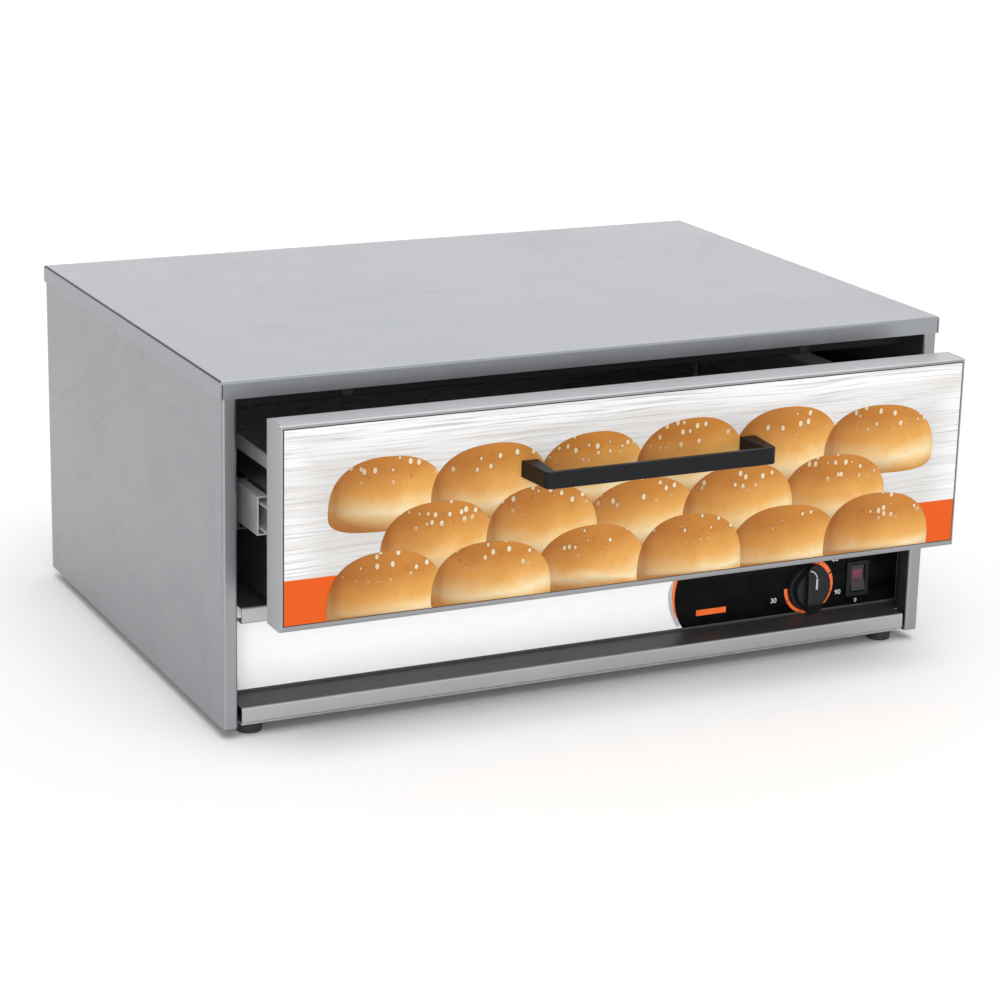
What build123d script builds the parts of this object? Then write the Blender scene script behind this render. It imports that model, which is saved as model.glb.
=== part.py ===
"""Drawer bun warmer: a low stainless casing with one heated drawer and a recessed control panel.

Millimetres, +Z up, the front towards -Y. The origin is on the surface that the feet stand on,
under the middle of the whole object with its drawer partly open, as it rests.
"""

from build123d import *

import os
from math import radians, tan

os.makedirs("parts", exist_ok=True)

# Casing sizes
case_w = 620.0  # over the side panels
case_d = 432.0  # from the face of the front stiles to the back panel
case_h = 270.0  # underside of the side panels to the top of the cover
sheet = 1.2
bend_r = 2.4
foot_h = 9.0
foot_r = 11.0
foot_taper = 1.5
foot_recess_gap = 1.0
foot_inset_x = 27.0
foot_inset_front = 17.0
foot_inset_rear = 25.0
floor_upstand = 22.8
floor_corner = 16.0
cover_lap = 14.0
cover_slit = 0.7
stile_w = 12.0
stile_return = 13.0
flange_w = 12.0
floor_flange_w = 14.5
fit_gap = 0.3
rail_end_gap = 3.0
return_gap = 1.0  # behind the returns of the stiles
wing_overlap = 1.0
vent_l = 42.0
vent_w = 5.0
vent_pitch_x = 58.0
vent_pitch_z = 14.0
vent_drop = 46.0
vent_columns = 9
vent_rows = 2

# Front openings, measured up from the underside of the casing
rail_base = 2.4
rail_top = 15.5
recess_d = 33.0
mid_rail_base = 82.0
mid_rail_top = 94.7
mid_rail_d = 46.0
rail_bend_r = 1.6
rail_lip = 12.0
panel_lip = 25.0
label_edge = 1.0
header_h = 28.5
header_d = 27.5
header_top_flange = 14.0
header_base_flange = 10.0
bumper_spread = 400.0
bumper_r = 4.5

# Drawer
drawer_out = 69.0  # how far the drawer stands open at rest
front_side_gap = 6.4
front_top_gap = 4.7
front_d = 25.7
front_slit = 0.5
front_bend = 2.0
front_lift = 1.8
print_border_side = 2.4
print_border_top = 2.2
print_border_base = 4.5
film_t = 0.3
box_side_gap = 16.6
box_back_gap = 40.3
box_drop = 40.0  # from the top of the drawer front to the top of the box
box_lift = 3.5
box_sheet = 1.0
box_hem_h = 11.3
box_ledge_w = 22.0
pan_gap = 1.5
pan_sheet = 0.8
pan_h = 60.0
pan_corner_r = 6.0
pan_edge = 30.0
pan_slot_l = 24.0
pan_slot_w = 5.0
pan_slot_columns = 13
pan_slot_rows = 10

# Handle
handle_w = 200.6
handle_foot_w = 14.0
handle_corner_in = 3.0
handle_reach = 38.0
handle_h = 13.0
handle_bar_t = 4.5
handle_rise = 104.5  # from the base of the drawer front to the middle of the bar
handle_screw_r = 2.0
handle_screw_l = 18.0
handle_corner_r = 5.0
handle_inner_r = 3.0
handle_edge_r = 0.8

# Telescopic slides: u runs from the box outwards, w from the slide's middle line up and down
slide_drop = 43.7  # from the top edge of the box to the slide's middle line
slide_end_gap = 16.0
slide_setback = 0.5
slide_sheet = 1.2
inner_half_h = 10.2
inner_reach = 8.5
middle_near = 2.4
middle_web_gap = 1.1
outer_near = 4.5
outer_web_gap = 1.2
ball_r = 1.5
ball_gap = 0.3
ball_count = 6
cage_sheet = 0.4
cage_strip_h = 0.8
cage_l = 150.0
cage_setback = 6.0
cage_edge = 1.0
cage_hole_gap = 0.25
outer_ball_u = 7.5
inner_ball_u = 5.0
support_half_h = 24.0
support_foot_h = 12.0
support_end = 13.0

# Controls, with x from the casing's middle and heights from its underside
knob_from_side = 89.0
knob_rise = 38.3
knob_base_r = 20.5
knob_neck_r = 17.0
knob_rim_t = 3.0
knob_dome_t = 8.0
knob_depth = 12.6
knob_grip_w = 16.4
knob_grip_l = 43.0
knob_flat_l = 23.0
knob_bevel_d = 4.0
knob_cavity_r = 16.0
knob_face_t = 3.0
knob_edge_r = 1.0
knob_hub_r = 6.0
shaft_r = 3.0
shaft_gap = 0.06
shaft_depth = 14.0  # how far the shaft reaches behind the panel's face
bush_r = 5.0
pointer_w = 1.8
pointer_l = 9.0
pointer_t = 0.25
switch_from_side = 41.7
switch_rise = 40.4
bezel_w = 22.0
bezel_h = 31.0
bezel_t = 2.0
bezel_corner_r = 1.5
bezel_edge_r = 0.8
switch_body_w = 19.5
switch_body_h = 28.0
switch_body_d = 24.0
rocker_w = 13.1
rocker_h = 21.2
rocker_gap = 0.35
rocker_swing = 16.0  # degrees from one pressed end to the other
rocker_pivot_r = 1.2
rocker_pin_l = 2.0
rocker_end_gap = 1.0
rocker_well_d = 12.0
rocker_shoulder = 1.0
rocker_foot = 3.0
rocker_chamfer = 0.6
rocker_sink = 2.0
rocker_waist = 2.6
rocker_crest = 4.1
label_from_side = 170.4
label_arc_r = 46.5
label_arc_rise = 44.0

# Thermostat and its sensing bulb
stat_w = 44.0
stat_h = 42.0
stat_d = 30.6
stat_plate_t = 1.2
stat_plate_h = 20.0
stat_ear_w = 3.0
stat_screw_l = 6.0
stat_screw_spread = 12.0
stat_head_r = 3.2
stat_head_t = 1.6
spade_w = 6.3
spade_t = 0.8
spade_l = 8.0
stat_spade = 9.0
switch_spade = 7.0
limit_spade = 5.0
capillary_r = 1.0
capillary_bend = 6.0
bulb_r = 3.5
bulb_l = 90.0
bulb_from_wall = 8.8
bulb_drop = 19.6  # from the foot of the slide support to the bulb's middle line
bulb_gap = 85.0
bulb_clip_t = 1.0
bulb_clip_w = 8.0
bulb_clip_h = 14.0

# Heating element and what holds it
element_r = 4.0
element_rise = 45.0
element_pitch = 60.0
element_legs = 6
element_out = 18.0
element_near_gap = 40.0
element_far_gap = 37.0
element_bend_r = 27.0
bushing_r = 8.5
bushing_t = 3.0
stud_r = 1.8
stud_l = 14.0
brazed_gap = 0.05
bracket_front_gap = 75.0
bracket_rear_gap = 87.0
bracket_lip = 10.0
bracket_slack = 0.2
shield_d = 100.0
tray_side_gap = 95.0
tray_rise = 16.0
tray_front_gap = 16.0
tray_rear_gap = 14.0
tray_sheet = 0.8
limit_x = 60.0
limit_rise = 64.0
limit_r = 12.0
limit_t = 8.0
limit_cap_t = 4.0

# Mains entry and wiring
gland_from_side = 55.0
gland_rise = 42.0
gland_bore_r = 4.5
gland_thread_r = 7.8
gland_cap_r = 11.0
gland_reach = 14.0
gland_inside = 14.0
gland_edge_r = 3.0
locknut_t = 4.0
grommet_from_side = 26.0
grommet_rise = 24.0
grommet_bore_r = 7.0
grommet_wall = 2.0
grommet_lip = 1.5
lead_r = 1.3
lead_bend = 8.0
lead_tail = 10.0
lead_sag = 30.0
grommet_spread = 3.5
terminal_from_side = 48.0
terminal_rear_gap = 60.0
terminal_pitch = 12.0
terminal_h = 16.0
terminal_d = 20.0
terminal_hole_r = 2.4
terminal_hole_d = 3.0

# Fasteners
screw_r = 2.0
screw_slack = 0.1
screw_head_r = 3.6
screw_head_t = 2.0
nut_r = 3.8
nut_t = 3.0
screw_tip = 1.0
rear_screw_l = 9.0
cover_screw_count = 4
cover_screw_inset = 70.0

# Derived sizes and places
half_w = case_w / 2
wall_x = half_w - sheet
stile_x = half_w - stile_w
rail_half = stile_x - rail_end_gap
panel_h = case_h - sheet
header_base = case_h - header_h
front_base = mid_rail_top + front_lift
front_w = 2 * (stile_x - front_side_gap)
front_h = case_h - cover_lap - front_top_gap - front_base
box_w = front_w - 2 * box_side_gap
box_d = case_d - front_d - box_back_gap
box_h = front_h - box_lift - box_drop
slide_l = box_d - slide_end_gap
middle_half_h = inner_half_h + 2 * (ball_r + ball_gap) + slide_sheet
outer_half_h = middle_half_h + 2 * (ball_r + ball_gap) + slide_sheet
middle_far = inner_reach + middle_web_gap + slide_sheet
slide_t = middle_far + outer_web_gap + slide_sheet
knob_x = half_w - knob_from_side
switch_x = half_w - switch_from_side
label_arc_x = half_w - label_from_side
bulb_x = wall_x - bulb_from_wall
bulb_depth = shield_d + bulb_gap
element_front = shield_d - element_out
element_near_bend = shield_d + element_near_gap
element_far_bend = case_d - element_far_gap
bracket_depths = (shield_d + bracket_front_gap, case_d - bracket_rear_gap)
tray_w = case_w - 2 * tray_side_gap
tray_front = shield_d + tray_front_gap
tray_back = case_d - tray_rear_gap
gland_x = half_w - gland_from_side
grommet_x = half_w - grommet_from_side
terminal_x = half_w - terminal_from_side
terminal_depth = case_d - terminal_rear_gap
cover_screw_pitch = (case_w - 2 * cover_screw_inset) / (cover_screw_count - 1)
cover_screw_xs = [n * cover_screw_pitch - half_w + cover_screw_inset for n in range(cover_screw_count)]
front_y = (drawer_out + handle_reach - case_d - gland_reach) / 2
base_z = foot_h
box_base = front_base + box_lift
slide_z = base_z + box_base + box_h - slide_drop
bulb_rise = slide_z - base_z - support_half_h - support_foot_h - bulb_drop
drawer_y = front_y - drawer_out
label_d = recess_d - film_t
panel_face_d = label_d - film_t
knob_back_d = panel_face_d - fit_gap
knob_front_d = knob_back_d - knob_depth
foot_top = base_z + sheet


def block(x, y, z, mode=Mode.ADD):
    """Box between two limits on each axis."""
    with Locations((x[0], y[0], z[0])):
        Box(x[1] - x[0], y[1] - y[0], z[1] - z[0], align=(Align.MIN,) * 3, mode=mode)


def rod(start, direction, radius, length, mode=Mode.ADD):
    """Round bar from a point along a direction."""
    with Locations(Plane(origin=start, z_dir=direction)):
        Cylinder(radius, length, align=(Align.CENTER, Align.CENTER, Align.MIN), mode=mode)


def folded(plane, points, side=Side.RIGHT, thickness=sheet, radius=bend_r):
    """Section of a bent sheet: its outer line, rounded at each bend, and one thickness inside it."""
    with BuildSketch(plane, mode=Mode.PRIVATE) as section:
        with BuildLine():
            FilletPolyline(*points, radius=radius)
            offset(amount=thickness, side=side)
        make_face()
    return section.sketch


def tube(points, radius, bend):
    """Round bar along straight runs joined by tangent arcs, each as large as bend and its runs allow."""
    arcs = []
    for before, corner, after in zip(points, points[1:], points[2:]):
        run_in = Vector(*corner) - Vector(*before)
        run_out = Vector(*after) - Vector(*corner)
        half_turn = radians(run_in.get_angle(run_out)) / 2
        arcs.append(min(bend, 0.45 * min(run_in.length, run_out.length) / tan(half_turn)))
    with BuildLine(mode=Mode.PRIVATE) as route:
        FilletPolyline(*points, radius=arcs)
    with BuildSketch(Plane(origin=route.line @ 0, z_dir=route.line % 0), mode=Mode.PRIVATE) as end:
        Circle(radius)
    sweep(end.sketch, path=route.line)


def finish(builder, name):
    """Name a finished piece and write it."""
    builder.part.label = name
    export_step(builder.part, f"parts/{name}.step")


def yz(x):
    """Plane across the casing at x, read as (depth, height) in the part's frame."""
    return Plane.YZ.offset(x)


def at(x, depth, rise):
    """Point in the casing: x, depth behind the front plane, height above the underside."""
    return (x, front_y + depth, base_z + rise)


def line_yz(*points):
    """Section points given as depth and height in the casing."""
    return [(front_y + depth, base_z + rise) for depth, rise in points]


# Casing shells

def make_top_cover():
    """Folded cover: a flat top with a lap on each side, slit at the four corners."""
    over_x = half_w + sheet
    with BuildPart() as cover:
        top = base_z + case_h
        base = top - cover_lap
        block((-over_x, over_x), (front_y - sheet, front_y + case_d + sheet), (base, top))
        fillet(cover.edges().group_by(Axis.Z)[-1], bend_r)
        block((-half_w, half_w), (front_y, front_y + case_d), (base, top - sheet), Mode.SUBTRACT)
        for side in (-1, 1):
            slit = sorted((side * half_w, side * (half_w - cover_slit)))
            block(slit, (front_y - sheet, front_y), (base, top - bend_r), Mode.SUBTRACT)
            back = (front_y + case_d, front_y + case_d + sheet)
            block(slit, back, (base, top - bend_r), Mode.SUBTRACT)
        for x in cover_screw_xs:
            hole = at(x, case_d, case_h - cover_lap / 2)
            rod(hole, (0, 1, 0), screw_r + screw_slack, sheet, Mode.SUBTRACT)
    finish(cover, "top_cover")


def make_side_panel(side, name):
    """Side wall with its front stile bent inwards and back, and a flange at the top and base."""
    edge = stile_x * side
    with BuildPart() as panel:
        outline = [
            (edge, front_y + stile_return),
            (edge, front_y),
            (half_w * side, front_y),
            (half_w * side, front_y + case_d - sheet),
        ]
        turn = Side.LEFT if side > 0 else Side.RIGHT
        extrude(folded(Plane.XY.offset(base_z), outline, turn), amount=panel_h)
        top_x = sorted((side * (half_w - flange_w - sheet), side * half_w))
        floor_x = sorted((side * (half_w - floor_flange_w), side * half_w))
        flange_y = (front_y + stile_return + return_gap, front_y + case_d - flange_w - 2 * sheet)
        block(top_x, flange_y, (base_z + panel_h - sheet, base_z + panel_h))
        block(floor_x, flange_y, (base_z, base_z + sheet))
    finish(panel, name)


def make_back_panel():
    """Back wall with a flange along each side, two rows of vent slots and the cord's hole."""
    flange = flange_w + sheet
    with BuildPart() as panel:
        outline = [
            (-wall_x, front_y + case_d - flange),
            (-wall_x, front_y + case_d),
            (wall_x, front_y + case_d),
            (wall_x, front_y + case_d - flange),
        ]
        extrude(
            folded(Plane.XY.offset(base_z + rail_base), outline, Side.RIGHT),
            amount=panel_h - rail_base,
        )
        slot_plane = Plane(origin=at(0, case_d, case_h - vent_drop), x_dir=(-1, 0, 0), z_dir=(0, 1, 0))
        with BuildSketch(slot_plane):
            with GridLocations(vent_pitch_x, vent_pitch_z, vent_columns, vent_rows):
                SlotOverall(vent_l, vent_w)
        extrude(amount=-2 * sheet, mode=Mode.SUBTRACT)
        entry = at(gland_x, case_d - 2 * sheet, gland_rise)
        rod(entry, (0, 1, 0), gland_thread_r + 2 * screw_slack, 4 * sheet, Mode.SUBTRACT)
        for x in cover_screw_xs:
            for rise in (case_h - cover_lap / 2, flange_w):
                hole = at(x, case_d - 2 * sheet, rise)
                rod(hole, (0, 1, 0), screw_r + screw_slack, 4 * sheet, Mode.SUBTRACT)
    finish(panel, "back_panel")


def foot_points():
    """Middle of each foot, with its node's name."""
    places = {}
    for end, depth in (("front", foot_inset_front), ("rear", case_d - foot_inset_rear)):
        for word, side in (("left", -1), ("right", 1)):
            places[f"foot_{end}_{word}"] = (side * (half_w - foot_inset_x), front_y + depth)
    return places


def make_bottom_pan():
    """Floor sheet on the side panels' flanges, turned up at the back."""
    floor = base_z + sheet
    with BuildPart() as pan:
        outline = line_yz(
            (stile_return + return_gap, sheet),
            (case_d - sheet, sheet),
            (case_d - sheet, sheet + floor_upstand),
        )
        extrude(folded(yz(-wall_x), outline, Side.LEFT), amount=2 * wall_x)
        corner_y = (front_y + case_d - 2 * floor_corner, front_y + case_d)
        corner_z = (floor, floor + sheet + 2 * floor_upstand)
        for side in (-1, 1):
            corner_x = sorted((side * (wall_x - floor_corner), side * wall_x))
            block(corner_x, corner_y, corner_z, Mode.SUBTRACT)
        tongue_y = (front_y + sheet, front_y + stile_return + 2 * return_gap)
        block((-rail_half, rail_half), tongue_y, (floor, floor + sheet))
        for x, y in foot_points().values():
            rod((x, y, base_z), (0, 0, 1), screw_r + screw_slack, 3 * sheet, Mode.SUBTRACT)
        for x in cover_screw_xs:
            hole = at(x, case_d - 3 * sheet, flange_w)
            rod(hole, (0, 1, 0), screw_r + screw_slack, 4 * sheet, Mode.SUBTRACT)
    finish(pan, "bottom_pan")


def make_control_panel():
    """One bent sheet: bottom rail, ledge and the recessed upright that carries the controls."""
    with BuildPart() as panel:
        outline = line_yz(
            (panel_lip, rail_base),
            (0, rail_base),
            (0, rail_top),
            (recess_d, rail_top),
            (recess_d, mid_rail_top - sheet),
        )
        extrude(folded(yz(-rail_half), outline, Side.RIGHT, radius=rail_bend_r), amount=2 * rail_half)
        ledge_y = (front_y + stile_return + return_gap, front_y + recess_d + sheet)
        face_y = (front_y + recess_d, front_y + recess_d + sheet)
        for side in (-1, 1):
            wing_x = sorted((side * (rail_half - wing_overlap), side * wall_x))
            block(wing_x, ledge_y, (base_z + rail_top - sheet, base_z + rail_top))
            block(wing_x, face_y, (base_z + rail_top - sheet, base_z + mid_rail_top - sheet))
        cut_control_holes(recess_d, sheet)
        for x, y in foot_points().values():
            rod((x, y, base_z), (0, 0, 1), nut_r + return_gap, 3 * sheet, Mode.SUBTRACT)
    finish(panel, "control_panel")


def cut_control_holes(depth, thickness):
    """Holes for the thermostat's bush and screws and for the switch."""
    rod(at(knob_x, depth, knob_rise), (0, 1, 0), bush_r + fit_gap, thickness, Mode.SUBTRACT)
    for shift in (-stat_screw_spread, stat_screw_spread):
        start = at(knob_x + shift, depth, knob_rise)
        rod(start, (0, 1, 0), screw_r + screw_slack, thickness, Mode.SUBTRACT)
    hole_w = switch_body_w / 2 + fit_gap
    hole_h = switch_body_h / 2 + fit_gap
    low = at(switch_x - hole_w, depth, switch_rise - hole_h)
    high = at(switch_x + hole_w, depth + thickness, switch_rise + hole_h)
    block((low[0], high[0]), (low[1], high[1]), (low[2], high[2]), Mode.SUBTRACT)


def make_mid_rail():
    """Cross rail between the drawer and the controls, a channel open to the back."""
    with BuildPart() as rail:
        outline = line_yz(
            (rail_lip, mid_rail_base),
            (0, mid_rail_base),
            (0, mid_rail_top),
            (mid_rail_d, mid_rail_top),
        )
        extrude(folded(yz(-rail_half), outline, Side.RIGHT, radius=rail_bend_r), amount=2 * rail_half)
        wing_y = (front_y + stile_return + return_gap, front_y + mid_rail_d)
        for side in (-1, 1):
            wing_x = sorted((side * (rail_half - wing_overlap), side * wall_x))
            block(wing_x, wing_y, (base_z + mid_rail_top - sheet, base_z + mid_rail_top))
    finish(rail, "mid_rail")


def make_header_rail():
    """Channel under the cover that the top of the drawer front closes against."""
    reach = half_w - flange_w - sheet
    with BuildPart() as rail:
        outline = line_yz(
            (header_d + header_top_flange, panel_h),
            (header_d, panel_h),
            (header_d, header_base),
            (header_d + header_base_flange, header_base),
        )
        extrude(folded(yz(-reach), outline, Side.LEFT, radius=rail_bend_r), amount=2 * reach)
    finish(rail, "header_rail")


def make_bumpers():
    """Two rubber buttons on the header that the drawer front comes up to."""
    with BuildPart() as bumpers:
        for x in (-bumper_spread / 2, bumper_spread / 2):
            start = at(x, front_d + fit_gap, header_base + bumper_r + 1.0)
            rod(start, (0, 1, 0), bumper_r, header_d - front_d - fit_gap)
    finish(bumpers, "drawer_bumpers")


# Heated compartment

def element_x(leg):
    """x of one straight leg of the element."""
    return (leg - (element_legs - 1) / 2) * element_pitch


def make_heat_shield():
    """Upright wall behind the controls with a flange over them, pierced for the element and leads."""
    with BuildPart() as shield:
        outline = line_yz(
            (shield_d + rail_lip, rail_base),
            (shield_d, rail_base),
            (shield_d, mid_rail_top - 2 * sheet),
            (recess_d + sheet + fit_gap, mid_rail_top - 2 * sheet),
        )
        extrude(folded(yz(-wall_x), outline, Side.RIGHT), amount=2 * wall_x)
        for leg in (0, element_legs - 1):
            hole = at(element_x(leg), shield_d, element_rise)
            rod(hole, (0, 1, 0), element_r + fit_gap, sheet, Mode.SUBTRACT)
        hole = at(grommet_x, shield_d, grommet_rise)
        rod(hole, (0, 1, 0), grommet_bore_r + grommet_wall / 2, sheet, Mode.SUBTRACT)
    finish(shield, "heat_shield")


def make_reflector_tray():
    """Bright tray under the element, standing on its two turned-down sides."""
    half = tray_w / 2
    with BuildPart() as tray:
        plane = Plane.XZ.offset(-(front_y + tray_back))
        outline = [
            (-half, base_z + rail_base),
            (-half, base_z + tray_rise),
            (half, base_z + tray_rise),
            (half, base_z + rail_base),
        ]
        sheet_line = folded(plane, outline, Side.RIGHT, thickness=tray_sheet)
        extrude(sheet_line, amount=tray_back - tray_front)
    finish(tray, "reflector_tray")


def make_element():
    """Tubular heating element: straight legs joined by half turns, both ends through the shield."""
    points = []
    for leg in range(element_legs):
        near = element_near_bend
        if leg in (0, element_legs - 1):
            near = element_front
        ends = [near, element_far_bend] if leg % 2 == 0 else [element_far_bend, near]
        points += [at(element_x(leg), depth, element_rise) for depth in ends]
    with BuildPart() as element:
        tube(points, element_r, element_bend_r)
    finish(element, "heating_element")


def make_element_terminals():
    """Brazed bushing against the shield and threaded stud at each end of the element."""
    with BuildPart() as terminals:
        for leg in (0, element_legs - 1):
            x = element_x(leg)
            seat = at(x, shield_d - bushing_t, element_rise)
            rod(seat, (0, 1, 0), bushing_r, bushing_t)
            rod(seat, (0, 1, 0), element_r + brazed_gap, bushing_t, Mode.SUBTRACT)
            rod(at(x, element_front - stud_l, element_rise), (0, 1, 0), stud_r, stud_l)
            rod(at(x, element_front - stud_l / 2, element_rise), (0, 1, 0), nut_r, nut_t)
    finish(terminals, "element_terminals")


def make_element_brackets():
    """Two combs standing on the tray, each notched for every leg of the element."""
    half = element_x(element_legs - 1) + 3 * element_r
    with BuildPart() as brackets:
        for depth in bracket_depths:
            outline = line_yz(
                (depth + bracket_lip, tray_rise),
                (depth, tray_rise),
                (depth, element_rise + 2 * element_r),
            )
            extrude(folded(yz(-half), outline, Side.RIGHT), amount=2 * half)
            for leg in range(element_legs):
                notch = element_r + bracket_slack
                start = at(element_x(leg), depth, element_rise)
                rod(start, (0, 1, 0), notch, sheet, Mode.SUBTRACT)
                low = at(element_x(leg) - notch, depth, element_rise)
                high = at(element_x(leg) + notch, depth + sheet, element_rise + 3 * element_r)
                block((low[0], high[0]), (low[1], high[1]), (low[2], high[2]), Mode.SUBTRACT)
    finish(brackets, "element_brackets")


def make_high_limit():
    """Round snap disc cut-out on the shield, with two flat terminals."""
    with BuildPart() as limit:
        rod(at(limit_x, shield_d - limit_t, limit_rise), (0, 1, 0), limit_r, limit_t)
        cap = at(limit_x, shield_d - limit_t - limit_cap_t, limit_rise)
        rod(cap, (0, 1, 0), 0.75 * limit_r, limit_cap_t)
        for shift in (-limit_spade, limit_spade):
            root = shield_d - limit_t - limit_cap_t
            low = at(limit_x + shift - spade_t / 2, root - spade_l, limit_rise - spade_w / 2)
            high = at(limit_x + shift + spade_t / 2, root, limit_rise + spade_w / 2)
            block((low[0], high[0]), (low[1], high[1]), (low[2], high[2]))
    finish(limit, "high_limit")


# Controls

def label_window(x_limits, depth, rise_limits):
    """Film on the recessed upright."""
    low = at(x_limits[0], depth, rise_limits[0])
    high = at(x_limits[1], depth + film_t, rise_limits[1])
    block((low[0], high[0]), (low[1], high[1]), (low[2], high[2]))


def make_labels():
    """White film over the whole upright and the black one over its control end."""
    rises = (rail_top + rail_bend_r + fit_gap, mid_rail_top - sheet - fit_gap)
    with BuildPart() as white:
        label_window((-wall_x + label_edge, wall_x - label_edge), label_d, rises)
        cut_control_holes(label_d, film_t)
    finish(white, "fascia_label")
    with BuildPart() as black:
        label_window((label_arc_x, wall_x - label_edge), panel_face_d, rises)
        rod(at(label_arc_x, panel_face_d, label_arc_rise), (0, 1, 0), label_arc_r, film_t)
        low = at(0, panel_face_d, rises[0] - case_h)
        high = at(2 * label_arc_x, label_d, rises[0])
        block((low[0], high[0]), (low[1], high[1]), (low[2], high[2]), Mode.SUBTRACT)
        low = at(0, panel_face_d, rises[1])
        high = at(2 * label_arc_x, label_d, rises[1] + case_h)
        block((low[0], high[0]), (low[1], high[1]), (low[2], high[2]), Mode.SUBTRACT)
        cut_control_holes(panel_face_d, film_t)
    finish(black, "control_label")


def make_knob():
    """Turned base and dome with a full-width finger grip, hollow behind, with a bored hub."""
    face = Plane(origin=at(knob_x, knob_back_d, knob_rise), x_dir=(1, 0, 0), z_dir=(0, -1, 0))
    with BuildPart() as knob:
        with BuildSketch(face):
            Circle(knob_base_r)
        extrude(amount=knob_rim_t, taper=20)
        with BuildSketch(face.offset(knob_rim_t)):
            Circle(knob_neck_r)
        extrude(amount=knob_dome_t - knob_rim_t, taper=16)
        with BuildSketch(face.offset(1.0)):
            SlotOverall(knob_grip_l, knob_grip_w, rotation=90)
        extrude(amount=knob_depth - 1.0, taper=2)
        with BuildSketch(yz(knob_x)):
            for sign in (-1, 1):
                front = front_y + knob_front_d
                middle = base_z + knob_rise
                with BuildLine():
                    Polyline(
                        (front, middle + sign * knob_flat_l / 2),
                        (front + knob_bevel_d, middle + sign * (knob_grip_l / 2 + 0.5)),
                        (front - 1.0, middle + sign * (knob_grip_l / 2 + 0.5)),
                        (front - 1.0, middle + sign * knob_flat_l / 2),
                        close=True,
                    )
                make_face()
        extrude(amount=knob_grip_w, both=True, mode=Mode.SUBTRACT)
        fillet(knob.faces().sort_by(Axis.Y)[0].edges(), knob_edge_r)
        with BuildSketch(face):
            Circle(knob_cavity_r)
            Circle(knob_hub_r, mode=Mode.SUBTRACT)
        extrude(amount=knob_rim_t, mode=Mode.SUBTRACT)
        with BuildSketch(face):
            Circle(shaft_r + shaft_gap)
        extrude(amount=knob_depth - knob_face_t, mode=Mode.SUBTRACT)
    finish(knob, "control_knob")
    with BuildPart() as pointer:
        top = base_z + knob_rise + knob_flat_l / 2 - knob_edge_r
        front = front_y + knob_front_d
        xs = (knob_x - pointer_w / 2, knob_x + pointer_w / 2)
        block(xs, (front - pointer_t, front), (top - pointer_l, top))
    finish(pointer, "knob_pointer")


def make_shaft():
    """Thermostat spindle, from inside its body to the knob's hub."""
    start = knob_front_d + knob_face_t + fit_gap
    with BuildPart() as shaft:
        rod(at(knob_x, start, knob_rise), (0, 1, 0), shaft_r, recess_d + shaft_depth - start)
    finish(shaft, "thermostat_shaft")


def make_thermostat():
    """Thermostat body on its front plate, with the spindle's bush and two flat terminals."""
    back = recess_d + sheet
    with BuildPart() as stat:
        low = at(knob_x - stat_w / 2, back, knob_rise - stat_plate_h / 2)
        high = at(knob_x + stat_w / 2, back + stat_plate_t, knob_rise + stat_plate_h / 2)
        block((low[0], high[0]), (low[1], high[1]), (low[2], high[2]))
        low = at(knob_x - stat_w / 2 + stat_ear_w, back + stat_plate_t, knob_rise - stat_h / 2)
        high = at(knob_x + stat_w / 2 - stat_ear_w, back + stat_d, knob_rise + stat_h / 2)
        block((low[0], high[0]), (low[1], high[1]), (low[2], high[2]))
        rod(at(knob_x, recess_d - fit_gap, knob_rise), (0, 1, 0), bush_r, back - recess_d + fit_gap)
        for shift in (-stat_spade, stat_spade):
            low = at(knob_x + shift - spade_t / 2, back + stat_d, knob_rise - spade_w / 2)
            high = at(knob_x + shift + spade_t / 2, back + stat_d + spade_l, knob_rise + spade_w / 2)
            block((low[0], high[0]), (low[1], high[1]), (low[2], high[2]))
        bore = at(knob_x, recess_d - 1.0, knob_rise)
        rod(bore, (0, 1, 0), shaft_r + shaft_gap, shaft_depth + 2.0, Mode.SUBTRACT)
        for shift in (-stat_screw_spread, stat_screw_spread):
            hole = at(knob_x + shift, back, knob_rise)
            rod(hole, (0, 1, 0), screw_r + brazed_gap, stat_screw_l + fit_gap, Mode.SUBTRACT)
    finish(stat, "thermostat")


def make_thermostat_screws():
    """Two screws under the knob that hold the thermostat."""
    with BuildPart() as screws:
        for shift in (-stat_screw_spread, stat_screw_spread):
            x = knob_x + shift
            rod(at(x, panel_face_d - stat_head_t, knob_rise), (0, 1, 0), stat_head_r, stat_head_t)
            reach = recess_d + sheet + stat_screw_l - panel_face_d
            rod(at(x, panel_face_d, knob_rise), (0, 1, 0), screw_r, reach)
    finish(screws, "thermostat_screws")


def make_bulb():
    """Sensing bulb beside the drawer and the capillary from it back to the thermostat."""
    stat_back = recess_d + sheet + stat_d
    behind = shield_d - lead_tail
    start = (knob_x + grommet_spread, knob_rise + stat_h / 3)
    hole = (grommet_x + grommet_spread, grommet_rise + grommet_spread)
    route = [
        at(start[0], stat_back, start[1]),
        at(start[0], behind, start[1]),
        at(hole[0], behind, hole[1]),
        at(hole[0], shield_d + 2.5 * lead_tail, hole[1]),
        at(bulb_x, shield_d + 4 * lead_tail, bulb_rise),
        at(bulb_x, bulb_depth, bulb_rise),
    ]
    with BuildPart() as bulb:
        tube(route, capillary_r, capillary_bend)
        rod(at(bulb_x, bulb_depth, bulb_rise), (0, 1, 0), bulb_r, bulb_l)
    finish(bulb, "thermostat_bulb")


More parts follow.
